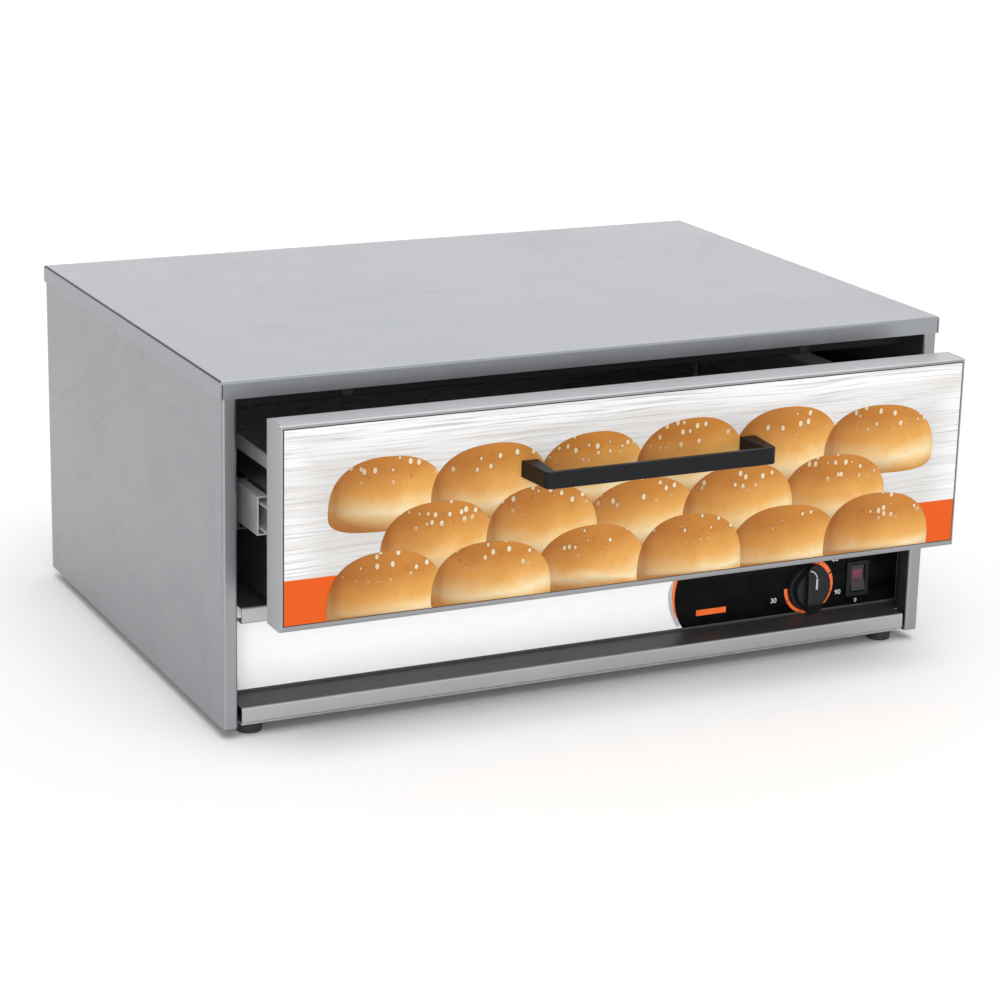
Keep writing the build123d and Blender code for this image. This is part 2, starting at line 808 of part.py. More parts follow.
def make_bulb_clips():
    """Two spring clips that hold the bulb to the side wall."""
    with BuildPart() as clips:
        z = base_z + bulb_rise
        web_z = (z - bulb_clip_t / 2, z + bulb_clip_t / 2)
        foot_z = (z - bulb_clip_h / 2, z + bulb_clip_h / 2)
        for share in (0.2, 0.8):
            y = front_y + bulb_depth + share * bulb_l
            span = (y, y + bulb_clip_w)
            rod((bulb_x, y, z), (0, 1, 0), bulb_r + bulb_clip_t, bulb_clip_w)
            block((bulb_x, wall_x), span, web_z)
            block((wall_x - bulb_clip_t, wall_x), span, foot_z)
            rod((bulb_x, y, z), (0, 1, 0), bulb_r + screw_slack, bulb_clip_w, Mode.SUBTRACT)
    finish(clips, "bulb_clips")


def make_switch():
    """Switch housing with its bezel, and the rocker on two stub pins."""
    open_w = rocker_w / 2 + rocker_gap
    open_h = rocker_h / 2 + rocker_end_gap
    pivot_d = panel_face_d + rocker_sink
    with BuildPart() as housing:
        low = at(switch_x - bezel_w / 2, panel_face_d - bezel_t, switch_rise - bezel_h / 2)
        high = at(switch_x + bezel_w / 2, panel_face_d, switch_rise + bezel_h / 2)
        block((low[0], high[0]), (low[1], high[1]), (low[2], high[2]))
        fillet(housing.edges().filter_by(Axis.Y), bezel_corner_r)
        fillet(housing.faces().sort_by(Axis.Y)[0].edges(), bezel_edge_r)
        low = at(switch_x - switch_body_w / 2, panel_face_d, switch_rise - switch_body_h / 2)
        deep = panel_face_d + switch_body_d
        high = at(switch_x + switch_body_w / 2, deep, switch_rise + switch_body_h / 2)
        block((low[0], high[0]), (low[1], high[1]), (low[2], high[2]))
        low = at(switch_x - open_w, panel_face_d - bezel_t, switch_rise - open_h)
        high = at(switch_x + open_w, panel_face_d + rocker_well_d, switch_rise + open_h)
        block((low[0], high[0]), (low[1], high[1]), (low[2], high[2]), Mode.SUBTRACT)
        socket = rocker_w / 2 + rocker_pin_l + fit_gap
        pin = at(switch_x - socket, pivot_d, switch_rise)
        rod(pin, (1, 0, 0), rocker_pivot_r + fit_gap, 2 * socket, Mode.SUBTRACT)
        for shift in (-switch_spade, switch_spade):
            low = at(switch_x - spade_w / 2, panel_face_d + switch_body_d, switch_rise + shift - spade_t / 2)
            root = panel_face_d + switch_body_d
            high = at(switch_x + spade_w / 2, root + spade_l, switch_rise + shift + spade_t / 2)
            block((low[0], high[0]), (low[1], high[1]), (low[2], high[2]))
    finish(housing, "switch_housing")
    tilt = Vector(0, 1, 0).rotate(Axis.X, -rocker_swing / 2)
    pivot = Plane(origin=at(switch_x, pivot_d, switch_rise), x_dir=tilt, z_dir=(1, 0, 0))
    half = rocker_h / 2
    end = half - rocker_chamfer
    with BuildPart() as button:
        with BuildSketch(pivot.offset(-rocker_w / 2)):
            with BuildLine():
                Polyline((-rocker_waist, 0), (-rocker_crest, half), (rocker_shoulder, end))
                Polyline((rocker_shoulder, end), (rocker_crest, rocker_foot), (rocker_crest, -rocker_foot))
                Polyline((rocker_crest, -rocker_foot), (rocker_shoulder, -end))
                Polyline((rocker_shoulder, -end), (-rocker_crest, -half), (-rocker_waist, 0))
            make_face()
        extrude(amount=rocker_w)
        pin = at(switch_x - rocker_w / 2 - rocker_pin_l, pivot_d, switch_rise)
        rod(pin, (1, 0, 0), rocker_pivot_r, rocker_w + 2 * rocker_pin_l)
    finish(button, "rocker_button")


# Mains entry, wiring and grommet

def make_gland():
    """Cord gland in the back panel and the locknut inside it."""
    inside = case_d - gland_inside
    with BuildPart() as gland:
        rod(at(gland_x, case_d, gland_rise), (0, 1, 0), gland_cap_r, gland_reach)
        fillet(gland.faces().sort_by(Axis.Y)[-1].edges(), gland_edge_r)
        start = at(gland_x, inside, gland_rise)
        rod(start, (0, 1, 0), gland_thread_r, gland_inside)
        rod(start, (0, 1, 0), gland_bore_r, gland_inside + gland_reach, Mode.SUBTRACT)
    finish(gland, "cord_gland")
    with BuildPart() as nut:
        face = Plane(origin=at(gland_x, case_d - sheet, gland_rise), x_dir=(1, 0, 0), z_dir=(0, -1, 0))
        with BuildSketch(face):
            RegularPolygon(gland_cap_r, 6)
            Circle(gland_thread_r + screw_slack, mode=Mode.SUBTRACT)
        extrude(amount=locknut_t)
    finish(nut, "gland_locknut")


def make_grommet():
    """Rubber grommet in the shield that the leads and the capillary pass through."""
    outer = grommet_bore_r + grommet_wall
    length = sheet + 2 * grommet_lip
    start = at(grommet_x, shield_d - grommet_lip, grommet_rise)
    wall = at(grommet_x, shield_d, grommet_rise)
    with BuildPart() as grommet:
        rod(start, (0, 1, 0), outer, length)
        rod(wall, (0, 1, 0), outer + grommet_wall, sheet, Mode.SUBTRACT)
        rod(wall, (0, 1, 0), outer - grommet_wall / 2, sheet)
        rod(start, (0, 1, 0), grommet_bore_r, length, Mode.SUBTRACT)
    finish(grommet, "wire_grommet")


def make_terminal_block():
    """Three-way terminal block on the floor near the cord's entry."""
    half = 1.5 * terminal_pitch
    middle = terminal_depth + terminal_d / 2
    with BuildPart() as terminals:
        low = at(terminal_x - half, terminal_depth, rail_base)
        high = at(terminal_x + half, terminal_depth + terminal_d, rail_base + terminal_h)
        block((low[0], high[0]), (low[1], high[1]), (low[2], high[2]))
        for way in (-1, 0, 1):
            top = at(terminal_x + way * terminal_pitch, middle, rail_base + terminal_h)
            rod(top, (0, 0, -1), terminal_hole_r, terminal_hole_d, Mode.SUBTRACT)
    finish(terminals, "terminal_block")


def terminal(way):
    """Front face of one way of the terminal block."""
    return at(terminal_x + way * terminal_pitch, terminal_depth, rail_base + terminal_h / 2)


def make_leads():
    """Internal leads between the terminal block, switch, thermostat, cut-out and element."""
    switch_back = panel_face_d + switch_body_d + spade_l
    stat_back = recess_d + sheet + stat_d + spade_l
    through = (shield_d - 1.6 * lead_tail, shield_d + 1.6 * lead_tail)
    floor = rail_base + lead_r + lead_r / 6
    mouth = rail_base + terminal_h / 2
    feed_x = grommet_x + grommet_spread / 2
    feed_rise = grommet_rise - 1.25 * grommet_spread
    supply = [
        terminal(1),
        at(terminal_x + terminal_pitch, terminal_depth - lead_sag, mouth),
        at(feed_x, through[1] + lead_sag, feed_rise),
        at(feed_x, through[0], feed_rise),
        at(switch_x, switch_back + lead_tail, switch_rise + switch_spade),
        at(switch_x, switch_back, switch_rise + switch_spade),
    ]
    load = [
        at(switch_x, switch_back, switch_rise - switch_spade),
        at(switch_x, switch_back + lead_tail, switch_rise - switch_spade),
        at(knob_x + stat_spade, stat_back + lead_tail, knob_rise),
        at(knob_x + stat_spade, stat_back, knob_rise),
    ]
    heater_x = element_x(element_legs - 1)
    stud_end = element_front - stud_l
    heat = [
        at(knob_x - stat_spade, stat_back, knob_rise),
        at(knob_x - stat_spade, stat_back + lead_tail, knob_rise),
        at(heater_x + 1.5 * lead_tail, stud_end - 1.2 * lead_tail, element_rise - 1.2 * lead_tail),
        at(heater_x, stud_end - 1.8 * lead_tail, element_rise),
        at(heater_x, stud_end, element_rise),
    ]
    other_x = element_x(0)
    back = [
        at(other_x, stud_end, element_rise),
        at(other_x, stud_end - 1.6 * lead_tail, element_rise),
        at(other_x + 1.8 * lead_tail, stud_end - 2.0 * lead_tail, floor),
        at(knob_x - 4.0 * lead_tail, stud_end - 1.4 * lead_tail, floor),
        at(grommet_x - grommet_spread, through[0] - lead_tail / 2, grommet_rise - grommet_spread),
        at(grommet_x - grommet_spread, through[1], grommet_rise - grommet_spread),
        at(terminal_x, terminal_depth - lead_sag, mouth),
        terminal(0),
    ]
    earth_x = terminal_x - 2 * terminal_pitch
    earth = [
        terminal(-1),
        at(terminal_x - terminal_pitch, terminal_depth - 0.75 * lead_sag, mouth),
        at(earth_x, terminal_depth - 1.2 * lead_sag, mouth),
        at(earth_x, terminal_depth - 1.2 * lead_sag, rail_base),
    ]
    routes = {
        "lead_supply": [supply, load],
        "lead_heater": [heat],
        "lead_return": [back],
        "lead_earth": [earth],
    }
    for name, group in routes.items():
        with BuildPart() as leads:
            for route in group:
                tube(route, lead_r, lead_bend)
        finish(leads, name)


# Feet and fasteners

def make_feet():
    """Four rubber feet, each with a recess for its screw."""
    for name, (x, y) in foot_points().items():
        with BuildPart() as foot:
            with Locations((x, y, 0)):
                Cone(foot_r - foot_taper, foot_r, foot_top, align=(Align.CENTER, Align.CENTER, Align.MIN))
            rod((x, y, 0), (0, 0, 1), screw_head_r + foot_recess_gap, foot_h / 2, Mode.SUBTRACT)
            rod((x, y, 0), (0, 0, 1), screw_r + screw_slack, foot_top, Mode.SUBTRACT)
        finish(foot, name)


def make_foot_screws():
    """Screw and nut through each foot and the floor."""
    with BuildPart() as screws:
        for x, y in foot_points().values():
            seat = foot_h / 2
            rod((x, y, seat - screw_head_t), (0, 0, 1), screw_head_r, screw_head_t)
            rod((x, y, seat), (0, 0, 1), screw_r, foot_top + sheet + nut_t + screw_tip - seat)
            rod((x, y, foot_top + sheet), (0, 0, 1), nut_r, nut_t)
    finish(screws, "foot_screws")


def make_rear_screws():
    """Screws through the cover's rear lap, and those along the foot of the back panel."""
    for name, rise, face in (
        ("cover_screws", case_h - cover_lap / 2, case_d + sheet),
        ("back_screws", flange_w, case_d),
    ):
        with BuildPart() as screws:
            for x in cover_screw_xs:
                rod(at(x, face, rise), (0, 1, 0), screw_head_r, screw_head_t)
                rod(at(x, face - rear_screw_l, rise), (0, 1, 0), screw_r, rear_screw_l)
        finish(screws, name)


# Slides and their supports

def slide_x(side, u):
    """x at a distance out from the side of the drawer box."""
    return side * (box_w / 2 + u)


def slide_channel(side, near, far, half_h, web_far, start_y):
    """One member: a web with a flange above and below, given by its limits in u."""
    web = (far - slide_sheet, far) if web_far else (near, near + slide_sheet)
    ys = (start_y, start_y + slide_l)
    block(sorted(slide_x(side, u) for u in web), ys, (slide_z - half_h, slide_z + half_h))
    for sign in (-1, 1):
        zs = sorted((slide_z + sign * half_h, slide_z + sign * (half_h - slide_sheet)))
        block(sorted(slide_x(side, u) for u in (near, far)), ys, zs)


def make_cage(name, side, web_u, near_u, ball_u, ball_w, start_y):
    """Ball retainer: two strips on one web, with its balls loose in their holes."""
    ys = (start_y, start_y + cage_l)
    pitch = cage_l / ball_count
    places = [(start_y + (n + 0.5) * pitch, sign) for n in range(ball_count) for sign in (-1, 1)]
    with BuildPart() as cage:
        height = ball_w + cage_strip_h / 2
        web = sorted(slide_x(side, u) for u in (web_u - cage_sheet, web_u))
        block(web, ys, (slide_z - height, slide_z + height))
        for sign in (-1, 1):
            zs = sorted((slide_z + sign * height, slide_z + sign * (height - cage_strip_h)))
            block(sorted(slide_x(side, u) for u in (near_u, web_u)), ys, zs)
        for y, sign in places:
            start = (slide_x(side, ball_u), y, slide_z + sign * (ball_w - ball_r))
            rod(start, (0, 0, sign), ball_r + cage_hole_gap, 2 * ball_r, Mode.SUBTRACT)
        for y, sign in places:
            with Locations((slide_x(side, ball_u), y, slide_z + sign * ball_w)):
                Sphere(ball_r)
    finish(cage, name)


def make_slides():
    """Both telescopic slides, from the drawer outwards, and the channels that carry them."""
    closed = front_d + slide_setback
    outer_ball_w = middle_half_h + ball_gap + ball_r
    inner_ball_w = inner_half_h + ball_gap + ball_r
    cage_start = closed + slide_l / 4 + cage_setback
    for word, side in (("left", -1), ("right", 1)):
        with BuildPart() as inner:
            slide_channel(side, 0, inner_reach, inner_half_h, False, drawer_y + closed)
        finish(inner, f"slide_inner_{word}")
        with BuildPart() as middle:
            middle_y = front_y + closed - drawer_out / 2
            slide_channel(side, middle_near, middle_far, middle_half_h, True, middle_y)
        finish(middle, f"slide_middle_{word}")
        with BuildPart() as outer:
            slide_channel(side, outer_near, slide_t, outer_half_h, True, front_y + closed)
        finish(outer, f"slide_outer_{word}")
        outer_web = (middle_far + slide_t - slide_sheet + cage_sheet) / 2
        inner_web = (inner_reach + middle_far - slide_sheet + cage_sheet) / 2
        start = front_y + cage_start - drawer_out / 4
        edge = outer_near + cage_edge
        make_cage(f"cage_outer_{word}", side, outer_web, edge, outer_ball_u, outer_ball_w, start)
        start = front_y + cage_start - drawer_out * 3 / 4
        edge = middle_near + cage_edge
        make_cage(f"cage_inner_{word}", side, inner_web, edge, inner_ball_u, inner_ball_w, start)
        with BuildPart() as support:
            web = slide_x(side, slide_t)
            foot = side * (wall_x - sheet)
            plane = Plane.XZ.offset(-(front_y + closed + slide_l + support_end))
            outline = [
                (foot, slide_z - support_half_h - support_foot_h),
                (foot, slide_z - support_half_h),
                (web, slide_z - support_half_h),
                (web, slide_z + support_half_h),
                (foot, slide_z + support_half_h),
                (foot, slide_z + support_half_h + support_foot_h),
            ]
            turn = Side.RIGHT if side > 0 else Side.LEFT
            extrude(folded(plane, outline, turn), amount=slide_l + support_end)
        finish(support, f"slide_support_{word}")


# Drawer

def make_drawer_front():
    """Front pan, turned back on all four sides, and the liner that closes it."""
    half = front_w / 2
    base = base_z + front_base
    back = drawer_y + front_d
    with BuildPart() as front:
        block((-half, half), (drawer_y, back), (base, base + front_h))
        face = front.faces().sort_by(Axis.Y)[0]
        fillet(face.edges(), front_bend)
        inside = half - sheet
        hollow_z = (base + sheet, base + front_h - sheet)
        block((-inside, inside), (drawer_y + sheet, back), hollow_z, Mode.SUBTRACT)
        for side in (-1, 1):
            slit = sorted((side * inside, side * (inside - front_slit)))
            for z in ((base, base + sheet), (base + front_h - sheet, base + front_h)):
                block(slit, (drawer_y + 2 * front_bend, back), z, Mode.SUBTRACT)
        cut_handle_holes(drawer_y, sheet)
    finish(front, "drawer_front")
    with BuildPart() as liner:
        block((-inside, inside), (back - sheet, back), hollow_z)
    finish(liner, "front_liner")


def handle_z():
    """Height of the middle of the handle's bar."""
    return base_z + front_base + handle_rise


def handle_foot_xs():
    """x of the middle of each handle foot."""
    middle = (handle_w - handle_foot_w) / 2
    return (-middle, middle)


def cut_handle_holes(y, thickness):
    """Clearance holes for the handle's screws."""
    for x in handle_foot_xs():
        rod((x, y, handle_z()), (0, 1, 0), handle_screw_r + screw_slack, thickness, Mode.SUBTRACT)


def make_print():
    """Printed film on the drawer front."""
    half = front_w / 2 - print_border_side
    base = base_z + front_base
    with BuildPart() as film:
        zs = (base + print_border_base, base + front_h - print_border_top)
        block((-half, half), (drawer_y - film_t, drawer_y), zs)
        cut_handle_holes(drawer_y - film_t, film_t)
    finish(film, "front_print")


def make_handle():
    """Bar handle: a thin front bar on two arms that widen towards their feet."""
    half = handle_w / 2
    foot_y = drawer_y - film_t
    front = drawer_y - handle_reach
    z = handle_z()
    foot_in = half - handle_foot_w
    bar_out = half - handle_corner_in
    bar_in = foot_in + handle_corner_in
    with BuildPart() as handle:
        with BuildSketch(Plane.XY.offset(z - handle_h / 2)):
            with BuildLine():
                Polyline((-half, foot_y), (-bar_out, front), (bar_out, front), (half, foot_y))
                Polyline((half, foot_y), (foot_in, foot_y), (bar_in, front + handle_bar_t))
                Polyline((bar_in, front + handle_bar_t), (-bar_in, front + handle_bar_t))
                Polyline((-bar_in, front + handle_bar_t), (-foot_in, foot_y), (-half, foot_y))
            outline = make_face()
            fillet(outline.vertices().group_by(Axis.Y)[0], handle_corner_r)
            fillet(outline.vertices().group_by(Axis.Y)[1], handle_inner_r)
        extrude(amount=handle_h)
        for x in handle_foot_xs():
            hole_l = handle_screw_l + fit_gap
            rod((x, foot_y, z), (0, -1, 0), handle_screw_r + brazed_gap, hole_l, Mode.SUBTRACT)
        rims = handle.faces().sort_by(Axis.Z)
        fillet(rims[-1].edges() + rims[0].edges(), handle_edge_r)
    finish(handle, "handle")
    with BuildPart() as screws:
        for x in handle_foot_xs():
            rod((x, drawer_y + sheet, z), (0, 1, 0), screw_head_r, screw_head_t)
            start = (x, foot_y - handle_screw_l, z)
            rod(start, (0, 1, 0), handle_screw_r, handle_screw_l + film_t + sheet)
    finish(screws, "handle_screws")


def make_drawer_box():
    """Box behind the front: four walls with outward hems, and a ledge that the pan rests on."""
    half = box_w / 2
    base = base_z + box_base
    top = base + box_h
    start = drawer_y + front_d
    with BuildPart() as box:
        block((-half, half), (start, start + box_d), (base, top))
        inside = half - box_sheet
        inside_y = (start + box_sheet, start + box_d - box_sheet)
        block((-inside, inside), inside_y, (base + box_sheet, top), Mode.SUBTRACT)
        window = inside - box_ledge_w
        window_y = (inside_y[0] + box_ledge_w, inside_y[1] - box_ledge_w)
        block((-window, window), window_y, (base, base + box_sheet), Mode.SUBTRACT)
        for side in (-1, 1):
            hem = sorted((side * half, side * (half + box_sheet)))
            block(hem, (start, start + box_d), (top - box_hem_h, top))
        block((-half, half), (start + box_d, start + box_d + box_sheet), (top - box_hem_h, top))
    finish(box, "drawer_box")


def make_bun_pan():
    """Lift-out pan with a slotted floor."""
    half = box_w / 2 - box_sheet - pan_gap
    start = drawer_y + front_d + box_sheet + pan_gap
    length = box_d - 2 * (box_sheet + pan_gap)
    base = base_z + box_base + box_sheet
    with BuildPart() as pan:
        block((-half, half), (start, start + length), (base, base + pan_h))
        fillet(pan.edges().filter_by(Axis.Z), pan_corner_r)
        opening = pan.faces().sort_by(Axis.Z)[-1]
        offset(amount=-pan_sheet, openings=opening)
        with BuildSketch(Plane.XY.offset(base)):
            pitch_x = (2 * half - 2 * pan_edge) / (pan_slot_columns - 1)
            pitch_y = (length - 2 * pan_edge) / (pan_slot_rows - 1)
            with Locations((0, start + length / 2)):
                with GridLocations(pitch_x, pitch_y, pan_slot_columns, pan_slot_rows):
                    SlotOverall(pan_slot_l, pan_slot_w)
        extrude(amount=2 * pan_sheet, mode=Mode.SUBTRACT)
    finish(pan, "bun_pan")


make_top_cover()
make_side_panel(-1, "left_side_panel")
make_side_panel(1, "right_side_panel")
make_back_panel()
make_bottom_pan()
make_control_panel()
make_mid_rail()
make_header_rail()
make_bumpers()
make_heat_shield()
make_reflector_tray()
make_element()
make_element_terminals()
make_element_brackets()
make_high_limit()
make_labels()
make_knob()
make_shaft()
make_thermostat()
make_thermostat_screws()
make_bulb()
make_bulb_clips()
make_switch()
make_gland()
make_grommet()
make_terminal_block()
make_leads()
make_feet()
make_foot_screws()
make_rear_screws()
make_slides()
make_drawer_front()
make_print()
make_handle()
make_drawer_box()
make_bun_pan()
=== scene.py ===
import math
import random

import bmesh
import bpy
from mathutils import Matrix, Vector


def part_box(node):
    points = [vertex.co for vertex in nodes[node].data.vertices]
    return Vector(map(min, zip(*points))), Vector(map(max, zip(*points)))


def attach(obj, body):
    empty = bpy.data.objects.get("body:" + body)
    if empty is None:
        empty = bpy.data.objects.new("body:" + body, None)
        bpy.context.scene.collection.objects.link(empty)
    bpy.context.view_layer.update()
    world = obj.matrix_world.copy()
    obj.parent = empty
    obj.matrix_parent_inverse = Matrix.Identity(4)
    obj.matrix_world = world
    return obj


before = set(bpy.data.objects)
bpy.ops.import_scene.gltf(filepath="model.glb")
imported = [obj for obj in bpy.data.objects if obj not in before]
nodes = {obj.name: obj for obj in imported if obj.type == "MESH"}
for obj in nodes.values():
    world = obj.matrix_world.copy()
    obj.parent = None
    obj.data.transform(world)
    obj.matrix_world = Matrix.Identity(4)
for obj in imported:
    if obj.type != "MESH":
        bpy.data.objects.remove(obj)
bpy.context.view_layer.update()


# Counter, lamps and camera: a wide pale counter in a plain white room, which runs on past every
# edge of the picture. Even soft light falls on the warmer from above and from the front, and a
# lamp for the counter alone keeps the shadow close under the casing.

MM = 0.001
COUNTER_SIZE = 60.0
COUNTER_WHITE = (0.94, 0.94, 0.94, 1)
COUNTER_ROUGH = 0.9
COUNTER_GLOW = 0.03
ROOM_WHITE = (1, 1, 1, 1)
ROOM_LEVEL = 0.60
LAMP_AIM = Vector((0, 0, 0.12))
FAR_LAMPS = (
    # name, place, level, spread in degrees, and whether the counter is left out or is all it lights
    ("light_above", (0.5, 0.9, 2.6), 0.9, 70, "EXCLUDE"),
    ("light_front", (-0.30, -0.95, 0.20), 2.6, 44, "EXCLUDE"),
    ("light_counter", (-0.10, -0.60, 1.60), 1.60, 52, "INCLUDE"),
)
BOX_PLACE = (1.3, 2.7, 1.1)
BOX_SIZE = 2.4
BOX_WATTS = 4
EYE = Vector((-1.00052, -2.04716, 0.78506))
EYE_RIGHT = Vector((0.90122, -0.43278, 0.02241))
EYE_UP = Vector((0.10383, 0.26584, 0.95841))
LENS = 102.07
SENSOR = 36.0
EYE_REACH = 200.0


def node(tree, kind, inputs=None, **settings):
    """One shader node. An input that is a socket is linked, and any other is a plain value."""
    made = tree.nodes.new("ShaderNode" + kind)
    for name, value in settings.items():
        setattr(made, name, value)
    for key, value in (inputs or {}).items():
        if isinstance(value, bpy.types.NodeSocket):
            tree.links.new(value, made.inputs[key])
        else:
            made.inputs[key].default_value = value
    return made


def calc(tree, operation, *values):
    """A sum on plain values or sockets."""
    return node(tree, "Math", dict(enumerate(values)), operation=operation).outputs[0]


def ranged(tree, value, low, high, start=0.0, end=1.0):
    """The value, drawn from start..end to low..high."""
    reach = node(tree, "MapRange", {"Value": value, "From Min": start, "From Max": end,
                                    "To Min": low, "To Max": high})
    return reach.outputs[0]


def blank_material(name):
    """An empty material and its node tree."""
    material = bpy.data.materials.new(name)
    material.use_nodes = True
    material.node_tree.nodes.clear()
    return material, material.node_tree


def seen_directly(tree):
    """A mask that is 1 where the eye, a reflection or a clear body looks at the surface."""
    path = node(tree, "LightPath").outputs
    looked = calc(tree, "MAXIMUM", path["Is Camera Ray"], path["Is Glossy Ray"])
    return calc(tree, "MAXIMUM", looked, path["Is Transmission Ray"])


def make_counter():
    """The counter top, with enough of its own white to run into the room without an edge."""
    half = COUNTER_SIZE / 2
    mesh = bpy.data.meshes.new("counter_top")
    corners = [(-half, -half, 0), (half, -half, 0), (half, half, 0), (-half, half, 0)]
    mesh.from_pydata(corners, [], [(0, 1, 2, 3)])
    counter = bpy.data.objects.new("counter_top", mesh)
    bpy.context.scene.collection.objects.link(counter)
    material, tree = blank_material("counter_white")
    paint = node(tree, "BsdfPrincipled", {"Base Color": COUNTER_WHITE, "Roughness": COUNTER_ROUGH})
    paint.inputs["Specular IOR Level"].default_value = 0.0
    glow = node(tree, "Emission", {"Color": ROOM_WHITE, "Strength": COUNTER_GLOW})
    lifted = node(tree, "AddShader", {0: paint.outputs[0], 1: glow.outputs[0]})
    mixed = node(tree, "MixShader",
                 {0: seen_directly(tree), 1: paint.outputs[0], 2: lifted.outputs[0]})
    node(tree, "OutputMaterial", {"Surface": mixed.outputs[0]})
    mesh.materials.append(material)
    return counter


def make_room():
    """White walls all round: full white when looked at, and a plain level as light."""
    world = bpy.data.worlds.new("white_room")
    bpy.context.scene.world = world
    world.use_nodes = True
    tree = world.node_tree
    tree.nodes.clear()
    level = ranged(tree, seen_directly(tree), ROOM_LEVEL, 1.0)
    light = node(tree, "Background", {"Color": ROOM_WHITE, "Strength": level})
    node(tree, "OutputWorld", {"Surface": light.outputs[0]})


def aim_lamp(data, place):
    """Puts a lamp at its place, pointing at the warmer."""
    lamp = bpy.data.objects.new(data.name, data)
    bpy.context.scene.collection.objects.link(lamp)
    lamp.location = place
    lamp.rotation_euler = (LAMP_AIM - Vector(place)).to_track_quat("-Z", "Y").to_euler()
    return lamp


def far_lamp(name, place, level, spread):
    """Even soft light from one side of the sky, as from a window wall."""
    data = bpy.data.lights.new(name, "SUN")
    data.energy = level
    data.angle = math.radians(spread)
    return aim_lamp(data, place)


def box_lamp(name, place, size, watts):
    """A square soft box."""
    data = bpy.data.lights.new(name, "AREA")
    data.shape = "SQUARE"
    data.size = size
    data.energy = watts
    return aim_lamp(data, place)


def share_light(lamp, thing, state):
    """Lets a lamp fall on one thing alone, or on all but that thing."""
    group = bpy.data.collections.new(lamp.name + "_share")
    group.objects.link(thing)
    lamp.light_linking.receiver_collection = group
    group.collection_objects[0].light_linking.link_state = state


def set_camera():
    """The eye, in front, to the left and above, looking down on the warmer."""
    data = bpy.data.cameras.new("eye")
    data.lens = LENS
    data.sensor_width = SENSOR
    data.clip_end = EYE_REACH
    camera = bpy.data.objects.new("eye", data)
    bpy.context.scene.collection.objects.link(camera)
    turn = Matrix((EYE_RIGHT, EYE_UP, EYE_RIGHT.cross(EYE_UP))).transposed().to_4x4()
    camera.matrix_world = Matrix.Translation(EYE) @ turn
    bpy.context.scene.camera = camera


counter_top = make_counter()
make_room()
for lamp_name, lamp_place, lamp_level, lamp_spread, lamp_share in FAR_LAMPS:
    share_light(far_lamp(lamp_name, lamp_place, lamp_level, lamp_spread), counter_top, lamp_share)
box_lamp("box_behind", BOX_PLACE, BOX_SIZE, BOX_WATTS)
set_camera()
bpy.context.scene.view_settings.view_transform = "Standard"


# Casing shell: folded stainless sheet with a fine satin grain. A top cover laps over two sides with
# front stiles, a screwed back and the front rails. The ledge under the films has a near black tone
# as painted shade, the rails, back and panel front a lighter tone as painted light, the sides a slightly
# darker one as painted shade, and the bends of the cover's side folds a dark line as a painted reflection.
# Handling leaves smudges and hairlines on it, and its folds are rubbed bright.

COVER_TONE = (0.342, 0.353, 0.372, 1)
COVER_DULL = (0.302, 0.312, 0.329, 1)
# The sides are a little darker than the cover, as painted shade.
SIDE_PAINTED_SHADE_TONE = (0.328, 0.336, 0.350, 1)
SIDE_PAINTED_SHADE_DULL = (0.284, 0.291, 0.304, 1)
# The rails, back and panel front are lighter than the cover and sides, as painted light.
RAIL_PAINTED_LIGHT_TONE = (0.480, 0.484, 0.492, 1)
RAIL_PAINTED_LIGHT_DULL = (0.400, 0.404, 0.412, 1)
STEEL_WORN = (0.56, 0.57, 0.58, 1)
STEEL_PAINTED_SHADE = (0.050, 0.050, 0.053, 1)
HEM_PAINTED_LIGHT_TONE = (0.60, 0.60, 0.61, 1)
SHELF_PAINTED_SHADE = (0.070, 0.070, 0.073, 1)
GRAIN_FINE = 1500.0
GRAIN_LONG = 14.0
# From here on a span is the start and end of a mask, a range is a least, a most and then a span, and
# a relief is its strength and its depth.
GRAIN_SPAN = (0.3, 0.7)
GRAIN_RANGE = (0.0, 0.5, 0.4, 0.75)
CLOUD_RANGE = (0.0, 0.55, 0.35, 0.7)
METAL_LEAST = 0.97
STEEL_RELIEF = (0.10, 0.02 * MM)
WIPE_BEND_SIZE = 3.0
WIPE_STRETCH = (1.0, 1.0, 2.6)
SMUDGE_SPAN = (0.52, 0.78)
SMUDGE_SHADE = 0.28
SMUDGE_ROUGH = 0.14
SCRATCH_TURN = (0.3, 0.5, 0.7)
SCRATCH_STRETCH = (7, 900, 60)
SCRATCH_SPAN = (0.70, 0.74)
SCRATCH_ROUGH = 0.12
BEND_SPAN = (0.995, 0.88)
WORN_SPAN = (0.38, 0.62)
FOLD_WEAR_WIDTH = 0.7 * MM
FOLD_WEAR = 0.6
FOLD_SPAN = (0.34, 0.44)
RAIL_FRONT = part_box("control_panel")[0].y
SHELF_SPAN = (RAIL_FRONT + 0.5 * MM, RAIL_FRONT + 1.5 * MM)


def vector_calc(tree, operation, *values):
    """A sum on plain vectors or sockets."""
    return node(tree, "VectorMath", dict(enumerate(values)), operation=operation).outputs[0]


def own_place(tree):
    """The place of a point on its piece."""
    return node(tree, "TexCoord").outputs["Object"]


def axes(tree, vector):
    """The three parts of a vector."""
    return node(tree, "SeparateXYZ", {"Vector": vector}).outputs


def facing(tree):
    """The three parts of the direction that the surface faces."""
    return axes(tree, node(tree, "NewGeometry").outputs["Normal"])


def noise(tree, place, scale, detail, rough=0.5, bend=0.0):
    """Smooth noise about one half."""
    made = node(tree, "TexNoise", {"Vector": place, "Scale": scale, "Detail": detail, "Roughness": rough,
                                   "Distortion": bend})
    return made.outputs["Fac"]


def noise_vector(tree, place, scale, detail):
    """Smooth noise with three parts, which moves a pattern about."""
    return node(tree, "TexNoise", {"Vector": place, "Scale": scale, "Detail": detail}).outputs["Color"]


